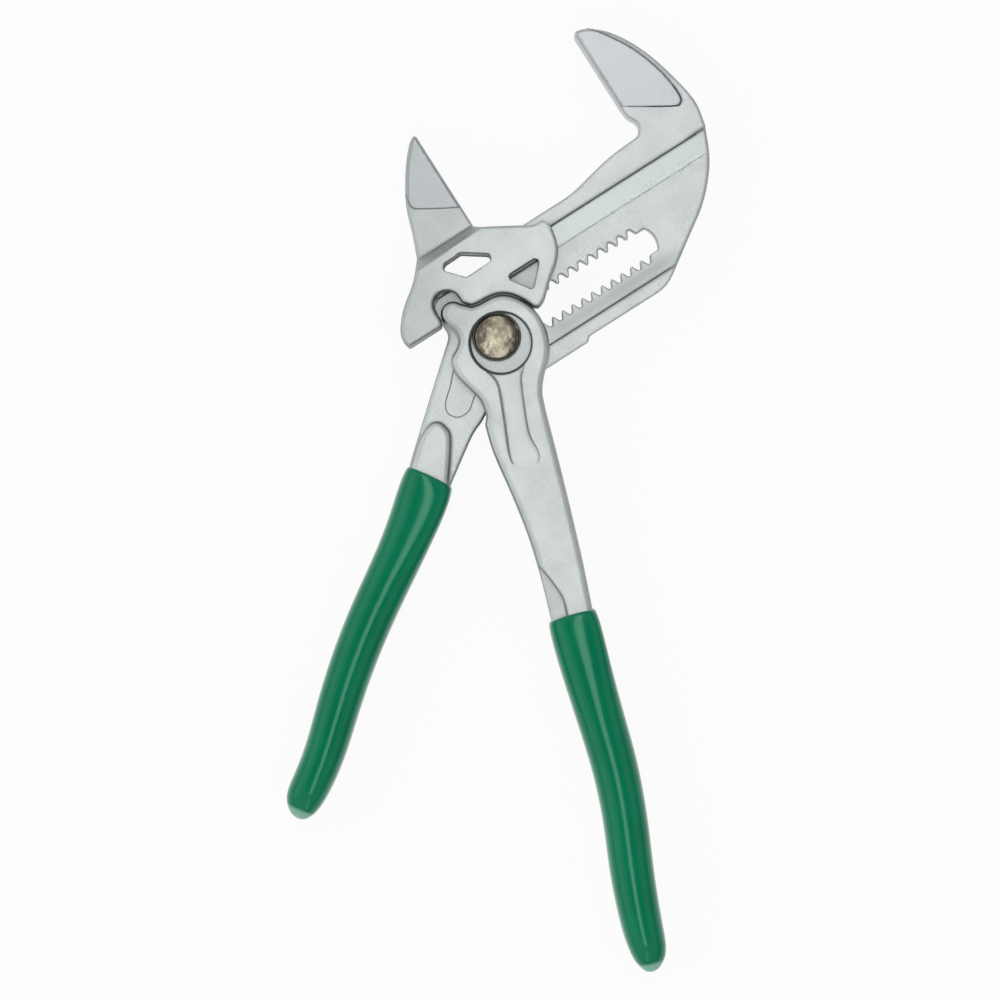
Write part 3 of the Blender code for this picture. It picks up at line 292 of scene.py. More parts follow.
# Each zone: what is read, then its low end, its high end and its soft border
ZONES = {
    "jaws": {"y": (20.0, 60.0, 0.1)},
    "ground flats": {"y": (20.0, 60.0, 0.1), "level": (4.16, 4.6, 0.03)},
    "track": TRACK,
    "track at the jaw": {"x": (-30.0, 8.0, 6.0), **TRACK},
    "track border": {"x": (16.0, 55.5, 1.5), "y": (12.6, 14.6, 0.3)},
    "track edge": {"x": (32.0, 54.0, 4.0), "y": (8.2, 10.0, 0.5)},
    "below the slot": {"x": (10.0, 40.0, 4.0), "y": (-7.0, -4.0, 1.2)},
    "left of the saddle": {"x": (-30.0, 12.0, 4.0), "y": (4.0, 60.0, 2.5)},
    "bore": {"pin": (-1.0, 5.0, 0.06), "level": (2.8, 9.0, 0.02)},
    "recess": {"recess": (-1.0, 6.45, 0.1), "level": (4.5, 6.2, 0.1)},
    "diamond window": {"diamond window": (-1.0, 5.4, 0.2)},
    "triangle window": {"triangle window": (-1.0, 4.0, 0.2)},
    "nose socket": {"nose socket": (-1.0, 3.4, 0.2)},
}


def measured(tree, place, openings):
    """What a zone can read: x, y, level, and the distance from each spot that is used."""
    axes = add_node(tree, "SeparateXYZ", {}, {"Vector": place})
    above = add_node(tree, "Math", {"operation": "SUBTRACT", 1: MIDDLE_Z}, {0: axes.outputs["Z"]})
    level = add_node(tree, "Math", {"operation": "ABSOLUTE"}, {0: above})
    readings = {"x": axes.outputs["X"], "y": axes.outputs["Y"], "level": level}
    flat = add_node(tree, "VectorMath", {"operation": "MULTIPLY", 1: (1, 1, 0)}, {0: place})
    for spot in ("pin", "recess", "saddle", *openings):
        x, y = SPOTS[spot]
        away = add_node(tree, "VectorMath",
                        {"operation": "DISTANCE", 1: (x * MM, y * MM, 0)}, {0: flat})
        readings[spot] = away.outputs["Value"]
    return readings


def zone(tree, readings, name):
    """1 inside a zone of the table and 0 outside it."""
    share = None
    for reading, (low, high, soft) in ZONES[name].items():
        inside = between(tree, readings[reading], low * MM, high * MM, soft * MM)
        if share:
            inside = add_node(tree, "Math", {"operation": "MULTIPLY"}, {0: share, 1: inside})
        share = inside
    return share


print(len(ZONES), "zones on the forgings")

# %% [markdown]
# Painted shade, stains and wear are one number for each point: the share of its light that is
# left. In corners it is painted shade from ambient occlusion, which is low where walls stand
# close by. The bore and the recess get a painted shade too, the bore a deep one. On the border of
# the track the painted corner shade is held back.

# %% Light that is left in corners
CREVICE_REACH = 0.7


def with_stains_and_painted_light(tree, kept, masks_and_shares):
    """Scales the colour for stains and wear, and for painted shade and highlights: each mask
    comes with the share that is left where it is 1.
    """
    for mask, left in masks_and_shares:
        amount = add_node(tree, "MapRange", {"To Min": 1.0, "To Max": left}, {"Value": mask})
        kept = add_node(tree, "Math", {"operation": "MULTIPLY"}, {0: kept, 1: amount})
    return kept


def kept_in_corners(tree, readings):
    # Painted shade: darker in corners by ambient occlusion, deep in the bore and light on the
    # recess floor.
    corner = add_node(tree, "AmbientOcclusion",
                      {"samples": 6, "only_local": True, "Distance": CREVICE_REACH * MM})
    kept = add_node(tree, "MapRange",
                    {"From Min": 0.35, "From Max": 0.92, "To Min": 0.3},
                    {"Value": corner.outputs["AO"]})
    kept = with_stains_and_painted_light(tree, kept, [(zone(tree, readings, "bore"), 0.12),
                                (zone(tree, readings, "recess"), 0.87)])
    # The painted corner shade is held back on the track's border.
    corner_shade_held_back = add_node(tree, "Math", {"operation": "MULTIPLY", 1: 0.85},
                     {0: zone(tree, readings, "track border")})
    return add_node(tree, "Math", {"operation": "MAXIMUM"}, {0: kept, 1: corner_shade_held_back})


print("corners are dark within %.1f mm" % CREVICE_REACH)

# %% [markdown]
# Steep faces and rounded edges get a painted shade. The normal's Z tells how flat a face lies.
# The jaws and the track's border are kept nearly as bright as flats, and the border's slope gets
# a painted highlight. The walls of the windows and of the nose socket get a deep painted shade.

# %% Light that is left on slopes
STEEP_SHARE = 0.65


def kept_on_slopes(tree, kept, readings, openings):
    flat = flatness(tree, "True Normal")
    # Painted shade: steep faces are darker than flats.
    steep_shade = add_node(tree, "MapRange",
                    {"interpolation_type": "SMOOTHSTEP", "From Min": 0.5, "From Max": 0.97,
                     "To Min": STEEP_SHARE}, {"Value": flat})
    border = zone(tree, readings, "track border")
    bright = add_node(tree, "Math", {"operation": "MAXIMUM"},
                      {0: zone(tree, readings, "jaws"), 1: border})
    bright = add_node(tree, "Math", {"operation": "MULTIPLY", 1: 0.93}, {0: bright})
    steep_shade = add_node(tree, "Math", {"operation": "MAXIMUM"}, {0: steep_shade, 1: bright})
    kept = add_node(tree, "Math", {"operation": "MULTIPLY"}, {0: kept, 1: steep_shade})
    slope = between(tree, flat, 0.4, 0.93, 0.07)
    # Painted highlight on the slope of the track's border.
    border_highlight = add_node(tree, "Math", {"operation": "MULTIPLY"}, {0: border, 1: slope})
    masks_and_shares = [(border_highlight, 1.6)]
    wall = add_node(tree, "MapRange",
                    {"From Min": 0.2, "From Max": 0.6, "To Min": 1.0, "To Max": 0.0},
                    {"Value": flat})
    # Painted shade on the walls of the windows and of the nose socket.
    for opening in openings:
        inside = add_node(tree, "Math", {"operation": "MULTIPLY"},
                          {0: zone(tree, readings, opening), 1: wall})
        masks_and_shares.append((inside, 0.06))
    return with_stains_and_painted_light(tree, kept, masks_and_shares)


print("a steep edge keeps %.0f %% of its light" % (100 * STEEP_SHARE))

# %% [markdown]
# Use leaves rubbed-off chrome in flecks along the track's edge. The track is darker with painted
# shade where the sliding jaw covers it. A strip below the slot is darker, and so are the jaw and
# the head left of the saddle, away from its middle. The pits are from the blasting, and come in
# patches where the shot hit harder.

# %% Light that is left by wear and painted shade
FLECK_SIZE = 0.55
# The pits of the shot are about 0.1 mm wide, drawn coarser so that they show
PIT_SIZE = 0.3


def kept_by_wear_and_painted_shade(tree, kept, place, readings, patches):
    scaled = add_node(tree, "TexNoise",
                      {"Scale": 1 / (FLECK_SIZE * MM), "Detail": 1.0}, {"Vector": place})
    flecks = add_node(tree, "MapRange", {"From Min": 0.6, "From Max": 0.66}, {"Value": scaled})
    flecks = add_node(tree, "Math", {"operation": "MULTIPLY"},
                      {0: flecks, 1: zone(tree, readings, "track edge")})
    beyond = add_node(tree, "MapRange", {"From Min": 6.0 * MM, "From Max": 12.0 * MM},
                      {"Value": readings["saddle"]})
    darker_left_of_saddle = add_node(tree, "Math", {"operation": "MULTIPLY"},
                       {0: zone(tree, readings, "left of the saddle"), 1: beyond})
    # Painted shade on the track where the sliding jaw covers it, flecks of wear, and a darker
    # strip below the slot and left of the saddle.
    kept = with_stains_and_painted_light(tree, kept, [(zone(tree, readings, "track at the jaw"), 0.85),
                                (flecks, 0.72),
                                (zone(tree, readings, "below the slot"), 0.75),
                                (darker_left_of_saddle, 0.84)])
    pitted = add_node(tree, "MapRange",
                      {"From Min": 0.38, "From Max": 0.66, "To Min": 0.02, "To Max": 0.12},
                      {"Value": patches})
    pits = add_node(tree, "TexNoise",
                    {"Scale": 1 / (PIT_SIZE * MM), "Detail": 1.0}, {"Vector": place})
    pits = add_node(tree, "MapRange",
                    {"From Min": 0.3, "From Max": 0.7, "To Min": -1.2, "To Max": 0.5},
                    {"Value": pits})
    pits = add_node(tree, "Math", {"operation": "MULTIPLY_ADD", 2: 1.0}, {0: pits, 1: pitted})
    return add_node(tree, "Math", {"operation": "MULTIPLY"}, {0: kept, 1: pits})


print("flecks of", FLECK_SIZE, "mm, pits of", PIT_SIZE, "mm")

# %% [markdown]
# The chrome's own colour is a pale cool grey that varies a little in clouds.
# The worn track is a shade darker and greener, and the ground flats a shade
# bluer, because fine grinding lines mirror more of the room. The grain is a
# bump of fine noise. It is strongest in the patches that were hit harder,
# coarse in the recess, and nearly gone where the steel was ground or rubbed.

# %% The chrome's tone
CLOUD_SIZE = 5.0


def chrome_tone(tree, place, ground, track):
    clouds = add_node(tree, "TexNoise", {"Scale": 1 / (CLOUD_SIZE * MM), "Detail": 4.0},
                      {"Vector": place})
    tone = two_tones(tree, clouds, 0.35, 0.65, "#C8CECE", "#D0D6D5")
    for mask, hex_colour in ((track, "#C2CAC7"), (ground, "#BDC2C5")):
        tone = add_node(tree, "Mix", {"data_type": "RGBA", 7: linear(hex_colour)},
                        {"Factor": mask, 6: tone}).outputs[2]
    return tone


print("clouds of", CLOUD_SIZE, "mm")

# %% The grain
# Blasting shot leaves dents of 0.1 to 0.2 mm, drawn at 0.32 mm so that they show
GRAIN_SIZE = 0.32
GRAIN_DEPTH = 0.07


def blasted_grain(tree, place, readings, patches, smooth):
    grain = add_node(tree, "TexNoise",
                     {"Scale": 1 / (GRAIN_SIZE * MM), "Detail": 1.0, "Roughness": 0.5},
                     {"Vector": place})
    strength = add_node(tree, "MapRange",
                        {"From Min": 0.35, "From Max": 0.65, "To Min": 0.08, "To Max": 0.36},
                        {"Value": patches})
    strength = add_node(tree, "Math", {"operation": "SUBTRACT"}, {0: strength, 1: smooth})
    strength = add_node(tree, "Math", {"operation": "MAXIMUM", 1: 0.03}, {0: strength})
    coarse = add_node(tree, "Math", {"operation": "MULTIPLY", 1: 0.5},
                      {0: zone(tree, readings, "recess")})
    strength = add_node(tree, "Math", {"operation": "ADD"}, {0: strength, 1: coarse})
    return add_node(tree, "Bump", {"Distance": GRAIN_DEPTH * MM},
                    {"Height": grain, "Strength": strength})


print("grain of", GRAIN_SIZE, "mm")

# %% Satin chrome
PATCH_SIZE = 7.0


def satin_chrome(name, openings=()):
    """The finish of one forging; openings are the zones whose walls get a painted shade on it."""
    material, tree, shader, place = new_finish(name)
    shader.inputs["Metallic"].default_value = 1.0
    readings = measured(tree, place, openings)
    ground = zone(tree, readings, "ground flats")
    track = zone(tree, readings, "track")
    smooth = add_node(tree, "Math", {"operation": "MAXIMUM"}, {0: ground, 1: track})
    patches = add_node(tree, "TexNoise",
                       {"Scale": 1 / (PATCH_SIZE * MM), "Detail": 2.0}, {"Vector": place})
    kept = kept_in_corners(tree, readings)
    kept = kept_on_slopes(tree, kept, readings, openings)
    kept = kept_by_wear_and_painted_shade(tree, kept, place, readings, patches)
    colour = add_node(tree, "VectorMath", {"operation": "SCALE"},
                      {0: chrome_tone(tree, place, ground, track), "Scale": kept})
    rough = add_node(tree, "MapRange", {"To Min": 0.46, "To Max": 0.4}, {"Value": smooth})
    grain = blasted_grain(tree, place, readings, patches, smooth)
    feed(tree, shader, {"Base Color": colour, "Roughness": rough, "Normal": grain})
    return material


main_chrome = satin_chrome("satin_chrome_on_main_lever")
jaw_chrome = satin_chrome("satin_chrome_on_sliding_jaw",
                          ("diamond window", "triangle window", "nose socket"))
handle_chrome = satin_chrome("satin_chrome_on_handle_lever", ("nose socket",))
print("satin chrome of %d nodes" % len(main_chrome.node_tree.nodes))

# %% [markdown]
# ## New skins for the three forgings
# A hammer forging has no sharp edge: the die rounds them all, and so does the
# blasting. The CAD solid has flat chamfers. A Bevel modifier would fail on its
# many short edges, so each forging gets a new skin instead. A voxel remesh
# gives even small faces, a few smoothing rounds melt the edges, and a
# decimation takes away what the flat areas don't need.

# %% Helpers for pieces
VOXEL = 0.22 * MM
SAME_POINT = 0.01 * MM


def use_material(piece, material):
    piece.data.materials.clear()
    piece.data.materials.append(material)


def only(piece):
    """Selects one piece and makes it the active one."""
    bpy.ops.object.select_all(action="DESELECT")
    piece.select_set(True)
    bpy.context.view_layer.objects.active = piece


def apply_modifier(piece, kind, **settings):
    modifier = piece.modifiers.new(kind.lower(), kind)
    for key, value in settings.items():
        setattr(modifier, key, value)
    only(piece)
    bpy.ops.object.modifier_apply(modifier=modifier.name)


def merged_copy(node, name):
    """A free copy of a CAD node with its loose triangles joined."""
    copy = frame["nodes"][node].copy()
    copy.data = copy.data.copy()
    copy.name = copy.data.name = name
    copy.parent = None
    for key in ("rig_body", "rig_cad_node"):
        del copy[key]
    bpy.context.scene.collection.objects.link(copy)
    only(copy)
    bpy.ops.object.mode_set(mode="EDIT")
    bpy.ops.mesh.select_all(action="SELECT")
    bpy.ops.mesh.remove_doubles(threshold=SAME_POINT)
    bpy.ops.object.mode_set(mode="OBJECT")
    return copy


print("new skins have faces of about %.2f mm" % (VOXEL / MM))

# %% The three forgings
def forged_skin(node, name, body, chrome):
    skin = merged_copy(node, name)
    apply_modifier(skin, "REMESH", mode="VOXEL", voxel_size=VOXEL)
    apply_modifier(skin, "SMOOTH", factor=0.5, iterations=4)
    apply_modifier(skin, "DECIMATE", ratio=0.3)
    only(skin)
    bpy.ops.object.shade_smooth()
    use_material(skin, chrome)
    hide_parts(node)
    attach(skin, body)
    print(name, len(skin.data.polygons), "faces")
    return skin


main_forging = forged_skin("main_lever", "main_lever_forging", "main", main_chrome)
jaw_forging = forged_skin("sliding_jaw", "sliding_jaw_forging", "jaw", jaw_chrome)
handle_forging = forged_skin("handle_lever", "handle_lever_forging", "handle", handle_chrome)

# %% [markdown]
# ## Oiled steel inside
# The lock pin is hardened and black-oxided, and its spring is drawn wire. Both
# stay as CAD nodes, because they hardly show. Hardening leaves a dark brown
# grey, and oil spreads over it in stains of a millimetre or two, so the eye
# gets a dark metal with a gloss that comes and goes.

# %% Oiled steel
STAIN_SIZE = 1.5


def oiled_steel():
    material, tree, shader, place = new_finish("oiled_hardened_steel")
    shader.inputs["Metallic"].default_value = 1.0
    stain = add_node(tree, "TexNoise", {"Scale": 1 / (STAIN_SIZE * MM), "Detail": 3.0},
                     {"Vector": place})
    tone = two_tones(tree, stain, 0.0, 1.0, "#4E4E4B", "#6F6F6B")
    rough = add_node(tree, "MapRange", {"To Min": 0.3, "To Max": 0.5}, {"Value": stain})
    feed(tree, shader, {"Base Color": tone, "Roughness": rough})
    return material


oiled = oiled_steel()
for name in ("lock_pin", "lock_spring"):
    use_material(frame["nodes"][name], oiled)
print("oiled steel on the lock pin and its spring")

# %% [markdown]
# ## Dipped PVC
# The grips are plasticised PVC, made by dipping the hot arm in liquid. The surface tension of the
# dip makes a glossy skin without a mould seam, so the eye gets clear highlights on a deep green.
# Where the coat curves away at its borders it gets a pale painted sheen, and the last drop at the
# tip dries thin and pale.

# %% Dipped PVC
ARM_ANGLES = {"main": radians(-145.2), "handle": radians(-108.9)}
# How far along its arm each grip's last drop begins to bulge, in mm
TIP_WAYS = {"main": 106.4, "handle": 133.8}
DROP_LENGTH = 1.3
# The coat's thickness wanders over about a centimetre
COAT_WAVE = 9.0


def pale_drop(tree, place, arm):
    """1 on the last drop at the tip of one arm."""
    angle, end = ARM_ANGLES[arm], TIP_WAYS[arm] * MM
    way = Vector((cos(angle), sin(angle), 0))
    along = add_node(tree, "VectorMath", {"operation": "DOT_PRODUCT", 1: way},
                     {0: place}).outputs["Value"]
    away = add_node(tree, "VectorMath", {"operation": "DISTANCE", 1: way * end},
                    {0: place}).outputs["Value"]
    return add_node(tree, "Math", {"operation": "MULTIPLY"},
                    {0: between(tree, along, end - DROP_LENGTH * MM, end + 9 * MM, 0.35 * MM),
                     1: between(tree, away, -1 * MM, 15 * MM, 1 * MM)})


def dipped_vinyl():
    material, tree, shader, place = new_finish("dipped_pvc")
    shader.inputs["IOR"].default_value = 1.45
    shader.inputs["Specular Tint"].default_value = linear("#C4F5E0")
    coat = add_node(tree, "TexNoise", {"Scale": 1 / (COAT_WAVE * MM), "Detail": 2.0},
                    {"Vector": place})
    tone = two_tones(tree, coat, 0.3, 0.7, "#007551", "#007D57")
    # Painted sheen: steep sides of the coat are mixed towards a pale green.
    painted_sheen_on_sides = add_node(tree, "MapRange",
                   {"From Min": 0.1, "From Max": 0.55, "To Min": 0.5, "To Max": 0.0},
                   {"Value": flatness(tree, "Normal")})
    pale_drops_and_sheen = [(painted_sheen_on_sides, "#7DBFA5")]
    for arm in ARM_ANGLES:
        drop = add_node(tree, "Math", {"operation": "MULTIPLY", 1: 0.85},
                        {0: pale_drop(tree, place, arm)})
        pale_drops_and_sheen.append((drop, "#8FC4AC"))
    for mask, hex_colour in pale_drops_and_sheen:
        tone = add_node(tree, "Mix", {"data_type": "RGBA", 7: linear(hex_colour)},
                        {"Factor": mask, 6: tone}).outputs[2]
    rough = add_node(tree, "MapRange", {"To Min": 0.09, "To Max": 0.17}, {"Value": coat})
    bump = add_node(tree, "Bump", {"Strength": 0.2, "Distance": 0.25 * MM}, {"Height": coat})
    feed(tree, shader, {"Base Color": tone, "Roughness": rough, "Normal": bump})
    return material


vinyl = dipped_vinyl()
print("dipped PVC of %d nodes" % len(vinyl.node_tree.nodes))

# %% [markdown]
# ## The two sleeves
# The steel went into the liquid and came out with a thick sleeve, a rolled lip
# at the mouth and a drop at the tip. A subdivided box would need its loops cut
# by hand. One ring that is extruded from station to station along the arm
# follows the photographed outline with one row of numbers each.

# %% Stations of the two sleeves
# Each row: way along the arm, its two edges across the arm, and half its thickness, in mm
MAIN_GRIP_ROWS = [
    (31.8, -6.85, 3.65, 5.17), (34.4, -7.10, 4.00, 5.50), (38.5, -6.75, 4.15, 5.50),
    (44.5, -6.20, 4.00, 5.50), (51.9, -6.10, 3.65, 5.50), (61.6, -6.55, 3.05, 5.50),
    (72.1, -6.35, 3.00, 5.50), (81.8, -5.50, 3.65, 5.50), (90.0, -4.25, 4.55, 5.50),
    (96.0, -3.80, 4.68, 5.50), (100.4, -3.95, 4.40, 5.28), (103.0, -3.85, 3.95, 4.70),
    (104.7, -3.20, 3.40, 3.90), (105.9, -2.30, 2.70, 2.90), (106.8, -1.20, 1.90, 1.80),
    (107.25, -0.40, 1.10, 0.80),
]
HANDLE_GRIP_ROWS = [
    (59.3, -3.50, 6.70, 5.17), (61.5, -3.75, 6.95, 5.50), (66.7, -3.70, 7.00, 5.50),
    (75.6, -3.05, 7.15, 5.50), (83.8, -2.35, 7.50, 5.50), (90.5, -1.95, 7.75, 5.50),
    (96.4, -1.90, 7.58, 5.50), (103.9, -2.35, 7.05, 5.50), (111.3, -3.30, 6.10, 5.50),
    (118.7, -3.70, 5.30, 5.50), (125.4, -3.70, 4.90, 5.39), (128.8, -3.25, 4.75, 5.06),
    (131.1, -2.75, 4.30, 4.40), (132.4, -2.10, 3.60, 3.50), (133.5, -1.40, 2.70, 2.40),
    (134.2, -0.70, 1.80, 1.40), (134.55, -0.10, 1.20, 0.60),
]
# The rolled lip: way along from the mouth in mm, and its size as a share of the mouth ring
LIP_ROWS = [(1.2, 0.72), (0.5, 0.76), (0.05, 0.83), (0.0, 0.9), (0.2, 0.965)]
LIP_END = 0.6
print("stations:", len(MAIN_GRIP_ROWS), "and", len(HANDLE_GRIP_ROWS))

# %% [markdown]
# A ring starts as a circle. Raising its coordinates to a power makes it nearly
# square, which is how the coat lies on the flat steel at the mouth. Over the
# next 22 mm it turns rounder, and its crown swings back from one side.

# %% The section of a sleeve
MOUTH_SQUARENESS = 3.3
GRIP_SQUARENESS = 2.45
SQUARE_LENGTH = 22.0
CROWN_SHIFT = 1.6
LIP_REACH = 1.5 * MM
PULL_REACH = 5.0 * MM


def squared(share, power):
    """A coordinate from -1 to 1, pushed outwards by a power and with its sign kept."""
    return abs(share) ** power * (1 if share > 0 else -1)


def round_off(sleeve, rings, mouth):
    """Makes the section rounder on its way from the mouth. Its crown starts aside."""
    for along, left, right, half in rings:
        share = min(max((along - mouth) / SQUARE_LENGTH, 0), 1)
        here = MOUTH_SQUARENESS + (GRIP_SQUARENESS - MOUTH_SQUARENESS) * share
        power = MOUTH_SQUARENESS / here
        middle, width = (left + right) / 2 * MM, (right - left) / 2 * MM
        for vertex in sleeve.data.vertices:
            if abs(vertex.co.z - along * MM) < SAME_POINT:
                across, up = (vertex.co.x - middle) / width, vertex.co.y / (half * MM)
                aside = CROWN_SHIFT * MM * min(share * 5, 1 - share, 0.6) * up ** 2
                vertex.co.x = middle + width * squared(across, power) + aside
                vertex.co.y = half * MM * squared(up, power)


def lean_mouth(sleeve, mouth, lean):
    """Pulls one side of the lip along the arm, as the dip left it."""
    only(sleeve)
    for vertex in sleeve.data.vertices:
        vertex.select = (vertex.co.z < mouth + LIP_REACH
                         and vertex.co.x * lean > LIP_REACH * abs(lean))
    bpy.ops.object.mode_set(mode="EDIT")
    bpy.ops.transform.translate(value=(0, 0, -abs(lean) * MM), use_proportional_edit=True,
                                proportional_edit_falloff="SMOOTH",
                                proportional_size=PULL_REACH)
    bpy.ops.object.mode_set(mode="OBJECT")


print("at the mouth 0.5 becomes %.2f" % squared(0.5, 2 / MOUTH_SQUARENESS))

# %% Extrude a sleeve
def arm_matrix(angle):
    """Local X lies across the arm, Y up and Z along it."""
    return Matrix(((-sin(angle), 0, cos(angle), 0), (cos(angle), 0, sin(angle), 0),
                   (0, 1, 0, MIDDLE_Z), (0, 0, 0, 1)))


def with_lip(rows):
    """All rings of a sleeve, from inside its mouth over the lip to the tip."""
    mouth, left, right, half = rows[0]
    middle, width = (left + right) / 2, (right - left) / 2
    lip = [(mouth + away, middle - width * share, middle + width * share, half * share)
           for away, share in LIP_ROWS]
    return lip + [(mouth + LIP_END, left, right, half)] + rows[1:]


def first_ring(name, ring):
    along, left, right, half = ring
    bpy.ops.mesh.primitive_circle_add(vertices=24, radius=MM, fill_type="NGON")
    sleeve = bpy.context.active_object
    sleeve.name = sleeve.data.name = name
    for vertex in sleeve.data.vertices:
        for axis in (0, 1):
            vertex.co[axis] = MM * squared(vertex.co[axis] / MM, 2 / MOUTH_SQUARENESS)
    bpy.ops.object.mode_set(mode="EDIT")
    bpy.ops.transform.resize(value=((right - left) / 2, half, 1), center_override=(0, 0, 0))
    bpy.ops.transform.translate(value=((left + right) / 2 * MM, 0, along * MM))
    return sleeve


def extrude_rings(rings):
    for before, after in zip(rings, rings[1:]):
        shift = (sum(after[1:3]) - sum(before[1:3])) / 2 * MM
        bpy.ops.mesh.extrude_region_move(
            TRANSFORM_OT_translate={"value": (shift, 0, (after[0] - before[0]) * MM)})
        centre = (sum(after[1:3]) / 2 * MM, 0, after[0] * MM)
        wider = (after[2] - after[1]) / (before[2] - before[1])
        bpy.ops.transform.resize(value=(wider, after[3] / before[3], 1),
                                 center_override=centre)
    bpy.ops.mesh.merge(type="CENTER")
    bpy.ops.object.mode_set(mode="OBJECT")


print("rings of the main sleeve:", len(with_lip(MAIN_GRIP_ROWS)))

# %% The two sleeves
def dipped_sleeve(name, rows, arm, lean):
    rings = with_lip(rows)
    sleeve = first_ring(name, rings[0])
    extrude_rings(rings)
    round_off(sleeve, rings, rows[0][0])
    lean_mouth(sleeve, rows[0][0] * MM, lean)
    apply_modifier(sleeve, "SUBSURF", levels=2)
    sleeve.data.transform(arm_matrix(ARM_ANGLES[arm]))
    only(sleeve)
    bpy.ops.object.mode_set(mode="EDIT")
    bpy.ops.mesh.select_all(action="SELECT")
    bpy.ops.mesh.normals_make_consistent(inside=False)
    bpy.ops.object.mode_set(mode="OBJECT")
    bpy.ops.object.shade_smooth()
    use_material(sleeve, vinyl)
    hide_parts(arm + "_grip")
    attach(sleeve, arm)
    print(name, len(sleeve.data.polygons), "faces")


dipped_sleeve("main_sleeve", MAIN_GRIP_ROWS, "main", -0.4)
dipped_sleeve("handle_sleeve", HANDLE_GRIP_ROWS, "handle", 0.5)

# %% [markdown]
# ## The rear cover
# A round disc closes the bore at the rear. It is turned from bar, so it is
# satin steel with fine rings that the lathe tool left, and it has a groove and
# a low boss. A spun profile would do as well. Insetting the lower face of one
# cylinder and raising it step by step is quicker to read and to change.

# %% Turned satin steel
# A finishing cut leaves rings about 0.05 mm apart, drawn at 0.15 mm so that they show
RING_SPACING = 0.15


def satin_steel():
    material, tree, shader, place = new_finish("turned_satin_steel")
    shader.inputs["Base Color"].default_value = linear("#BDBEBC")
    shader.inputs["Metallic"].default_value = 1.0
    flat = add_node(tree, "VectorMath", {"operation": "MULTIPLY", 1: (1, 1, 0)}, {0: place})
    radius = add_node(tree, "VectorMath", {"operation": "LENGTH"}, {0: flat}).outputs["Value"]
    rings = add_node(tree, "TexNoise", {"noise_dimensions": "1D", "Detail": 2.0,
                                        "Scale": 1 / (RING_SPACING * MM)}, {"W": radius})
    rough = add_node(tree, "MapRange", {"To Min": 0.25, "To Max": 0.45}, {"Value": rings})
    bump = add_node(tree, "Bump", {"Strength": 0.3, "Distance": 0.02 * MM}, {"Height": rings})
    feed(tree, shader, {"Roughness": rough, "Normal": bump})
    return material


print("turning rings", RING_SPACING, "mm apart")

# %% Helpers for turned pieces
def turned_blank(name, vertices, radius, depth, middle):
    """A cylinder on the pivot's axis, in mm, with its place moved into its mesh."""
    bpy.ops.mesh.primitive_cylinder_add(vertices=vertices, radius=radius * MM,
                                        depth=depth * MM, location=(0, 0, middle * MM))
    blank = bpy.context.active_object
    blank.name = blank.data.name = name
    bpy.ops.object.transform_apply(location=True, rotation=False, scale=False)
    return blank


def raise_face(piece, up, steps):
    """Insets the end face that points up (1) or down (-1), again and again.

    Each step is how far the face shrinks and how far it then rises, in mm."""
    bpy.ops.object.mode_set(mode="EDIT")
    bpy.ops.mesh.select_mode(type="FACE")
    bpy.ops.mesh.select_all(action="DESELECT")
    bpy.ops.object.mode_set(mode="OBJECT")
    for face in piece.data.polygons:
        face.select = len(face.vertices) > 4 and face.normal.z * up > 0.9
    bpy.ops.object.mode_set(mode="EDIT")
    for inward, rise in steps:
        bpy.ops.mesh.inset(thickness=inward * MM)
        bpy.ops.transform.translate(value=(0, 0, rise * MM * up))
    bpy.ops.object.mode_set(mode="OBJECT")
    print(piece.name, "face raised in", len(steps), "steps")


# %% The rear cover
COVER_STEPS = [(0.02, 0.02), (0.12, 0.13), (0.5, 0.05), (0.25, -0.14), (1.3, 0.0),
               (0.15, 0.1), (0.9, 0.03)]
cover = turned_blank("rear_cover_disc", vertices=64, radius=4.86, depth=0.5, middle=0.45)
raise_face(cover, -1, COVER_STEPS)
apply_modifier(cover, "SUBSURF", levels=1)
only(cover)
bpy.ops.object.shade_smooth_by_angle(angle=radians(35))
use_material(cover, satin_steel())
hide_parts("rear_cover")
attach(cover, "pivot")

# %% [markdown]
# ## The push button
# The button is a brass disc with a low dome, plated with bright nickel. Nickel is warmer than
# chrome, and thumbs have dented and dulled this one, so the eye gets a yellowish mirror in soft
# patches, with a painted highlight that is lightest at one spot and darker away from it. The
# piece is made as the cover is, with its upper face raised in rings.
# Its lower face is drawn out to the stud that goes into the pin.

# %% Bright nickel
TARNISH_SIZE = 2.0
DENT_SIZE = 2.6
PAINTED_HIGHLIGHT_SPOT = from_photo(-2.2 * MM, -1.6 * MM, 11.5 * MM)


def button_nickel():
    material, tree, shader, place = new_finish("bright_nickel")
    shader.inputs["Metallic"].default_value = 1.0
    shader.inputs["Roughness"].default_value = 0.24
    tarnish = add_node(tree, "TexNoise",
                       {"Scale": 1 / (TARNISH_SIZE * MM), "Detail": 2.0}, {"Vector": place})
    tone = two_tones(tree, tarnish, 0.38, 0.6, "#6E695B", "#938E7E")
    # Painted highlight: the nickel is lighter near one spot and darker away from it.
    away = add_node(tree, "VectorMath", {"operation": "DISTANCE", 1: PAINTED_HIGHLIGHT_SPOT},
                    {0: place}).outputs["Value"]
    painted_highlight = add_node(tree, "MapRange", {"From Min": 1.0 * MM, "From Max": 6.0 * MM,
                                           "To Min": 1.15, "To Max": 0.65}, {"Value": away})
    colour = add_node(tree, "VectorMath", {"operation": "SCALE"}, {0: tone, "Scale": painted_highlight})
    dents = add_node(tree, "TexNoise",
                     {"Scale": 1 / (DENT_SIZE * MM), "Detail": 2.0, "Roughness": 0.45},
                     {"Vector": place})
    bump = add_node(tree, "Bump", {"Strength": 0.6, "Distance": 0.3 * MM}, {"Height": dents})
    feed(tree, shader, {"Base Color": colour, "Normal": bump})
    return material


print("dents of", DENT_SIZE, "mm in the button")

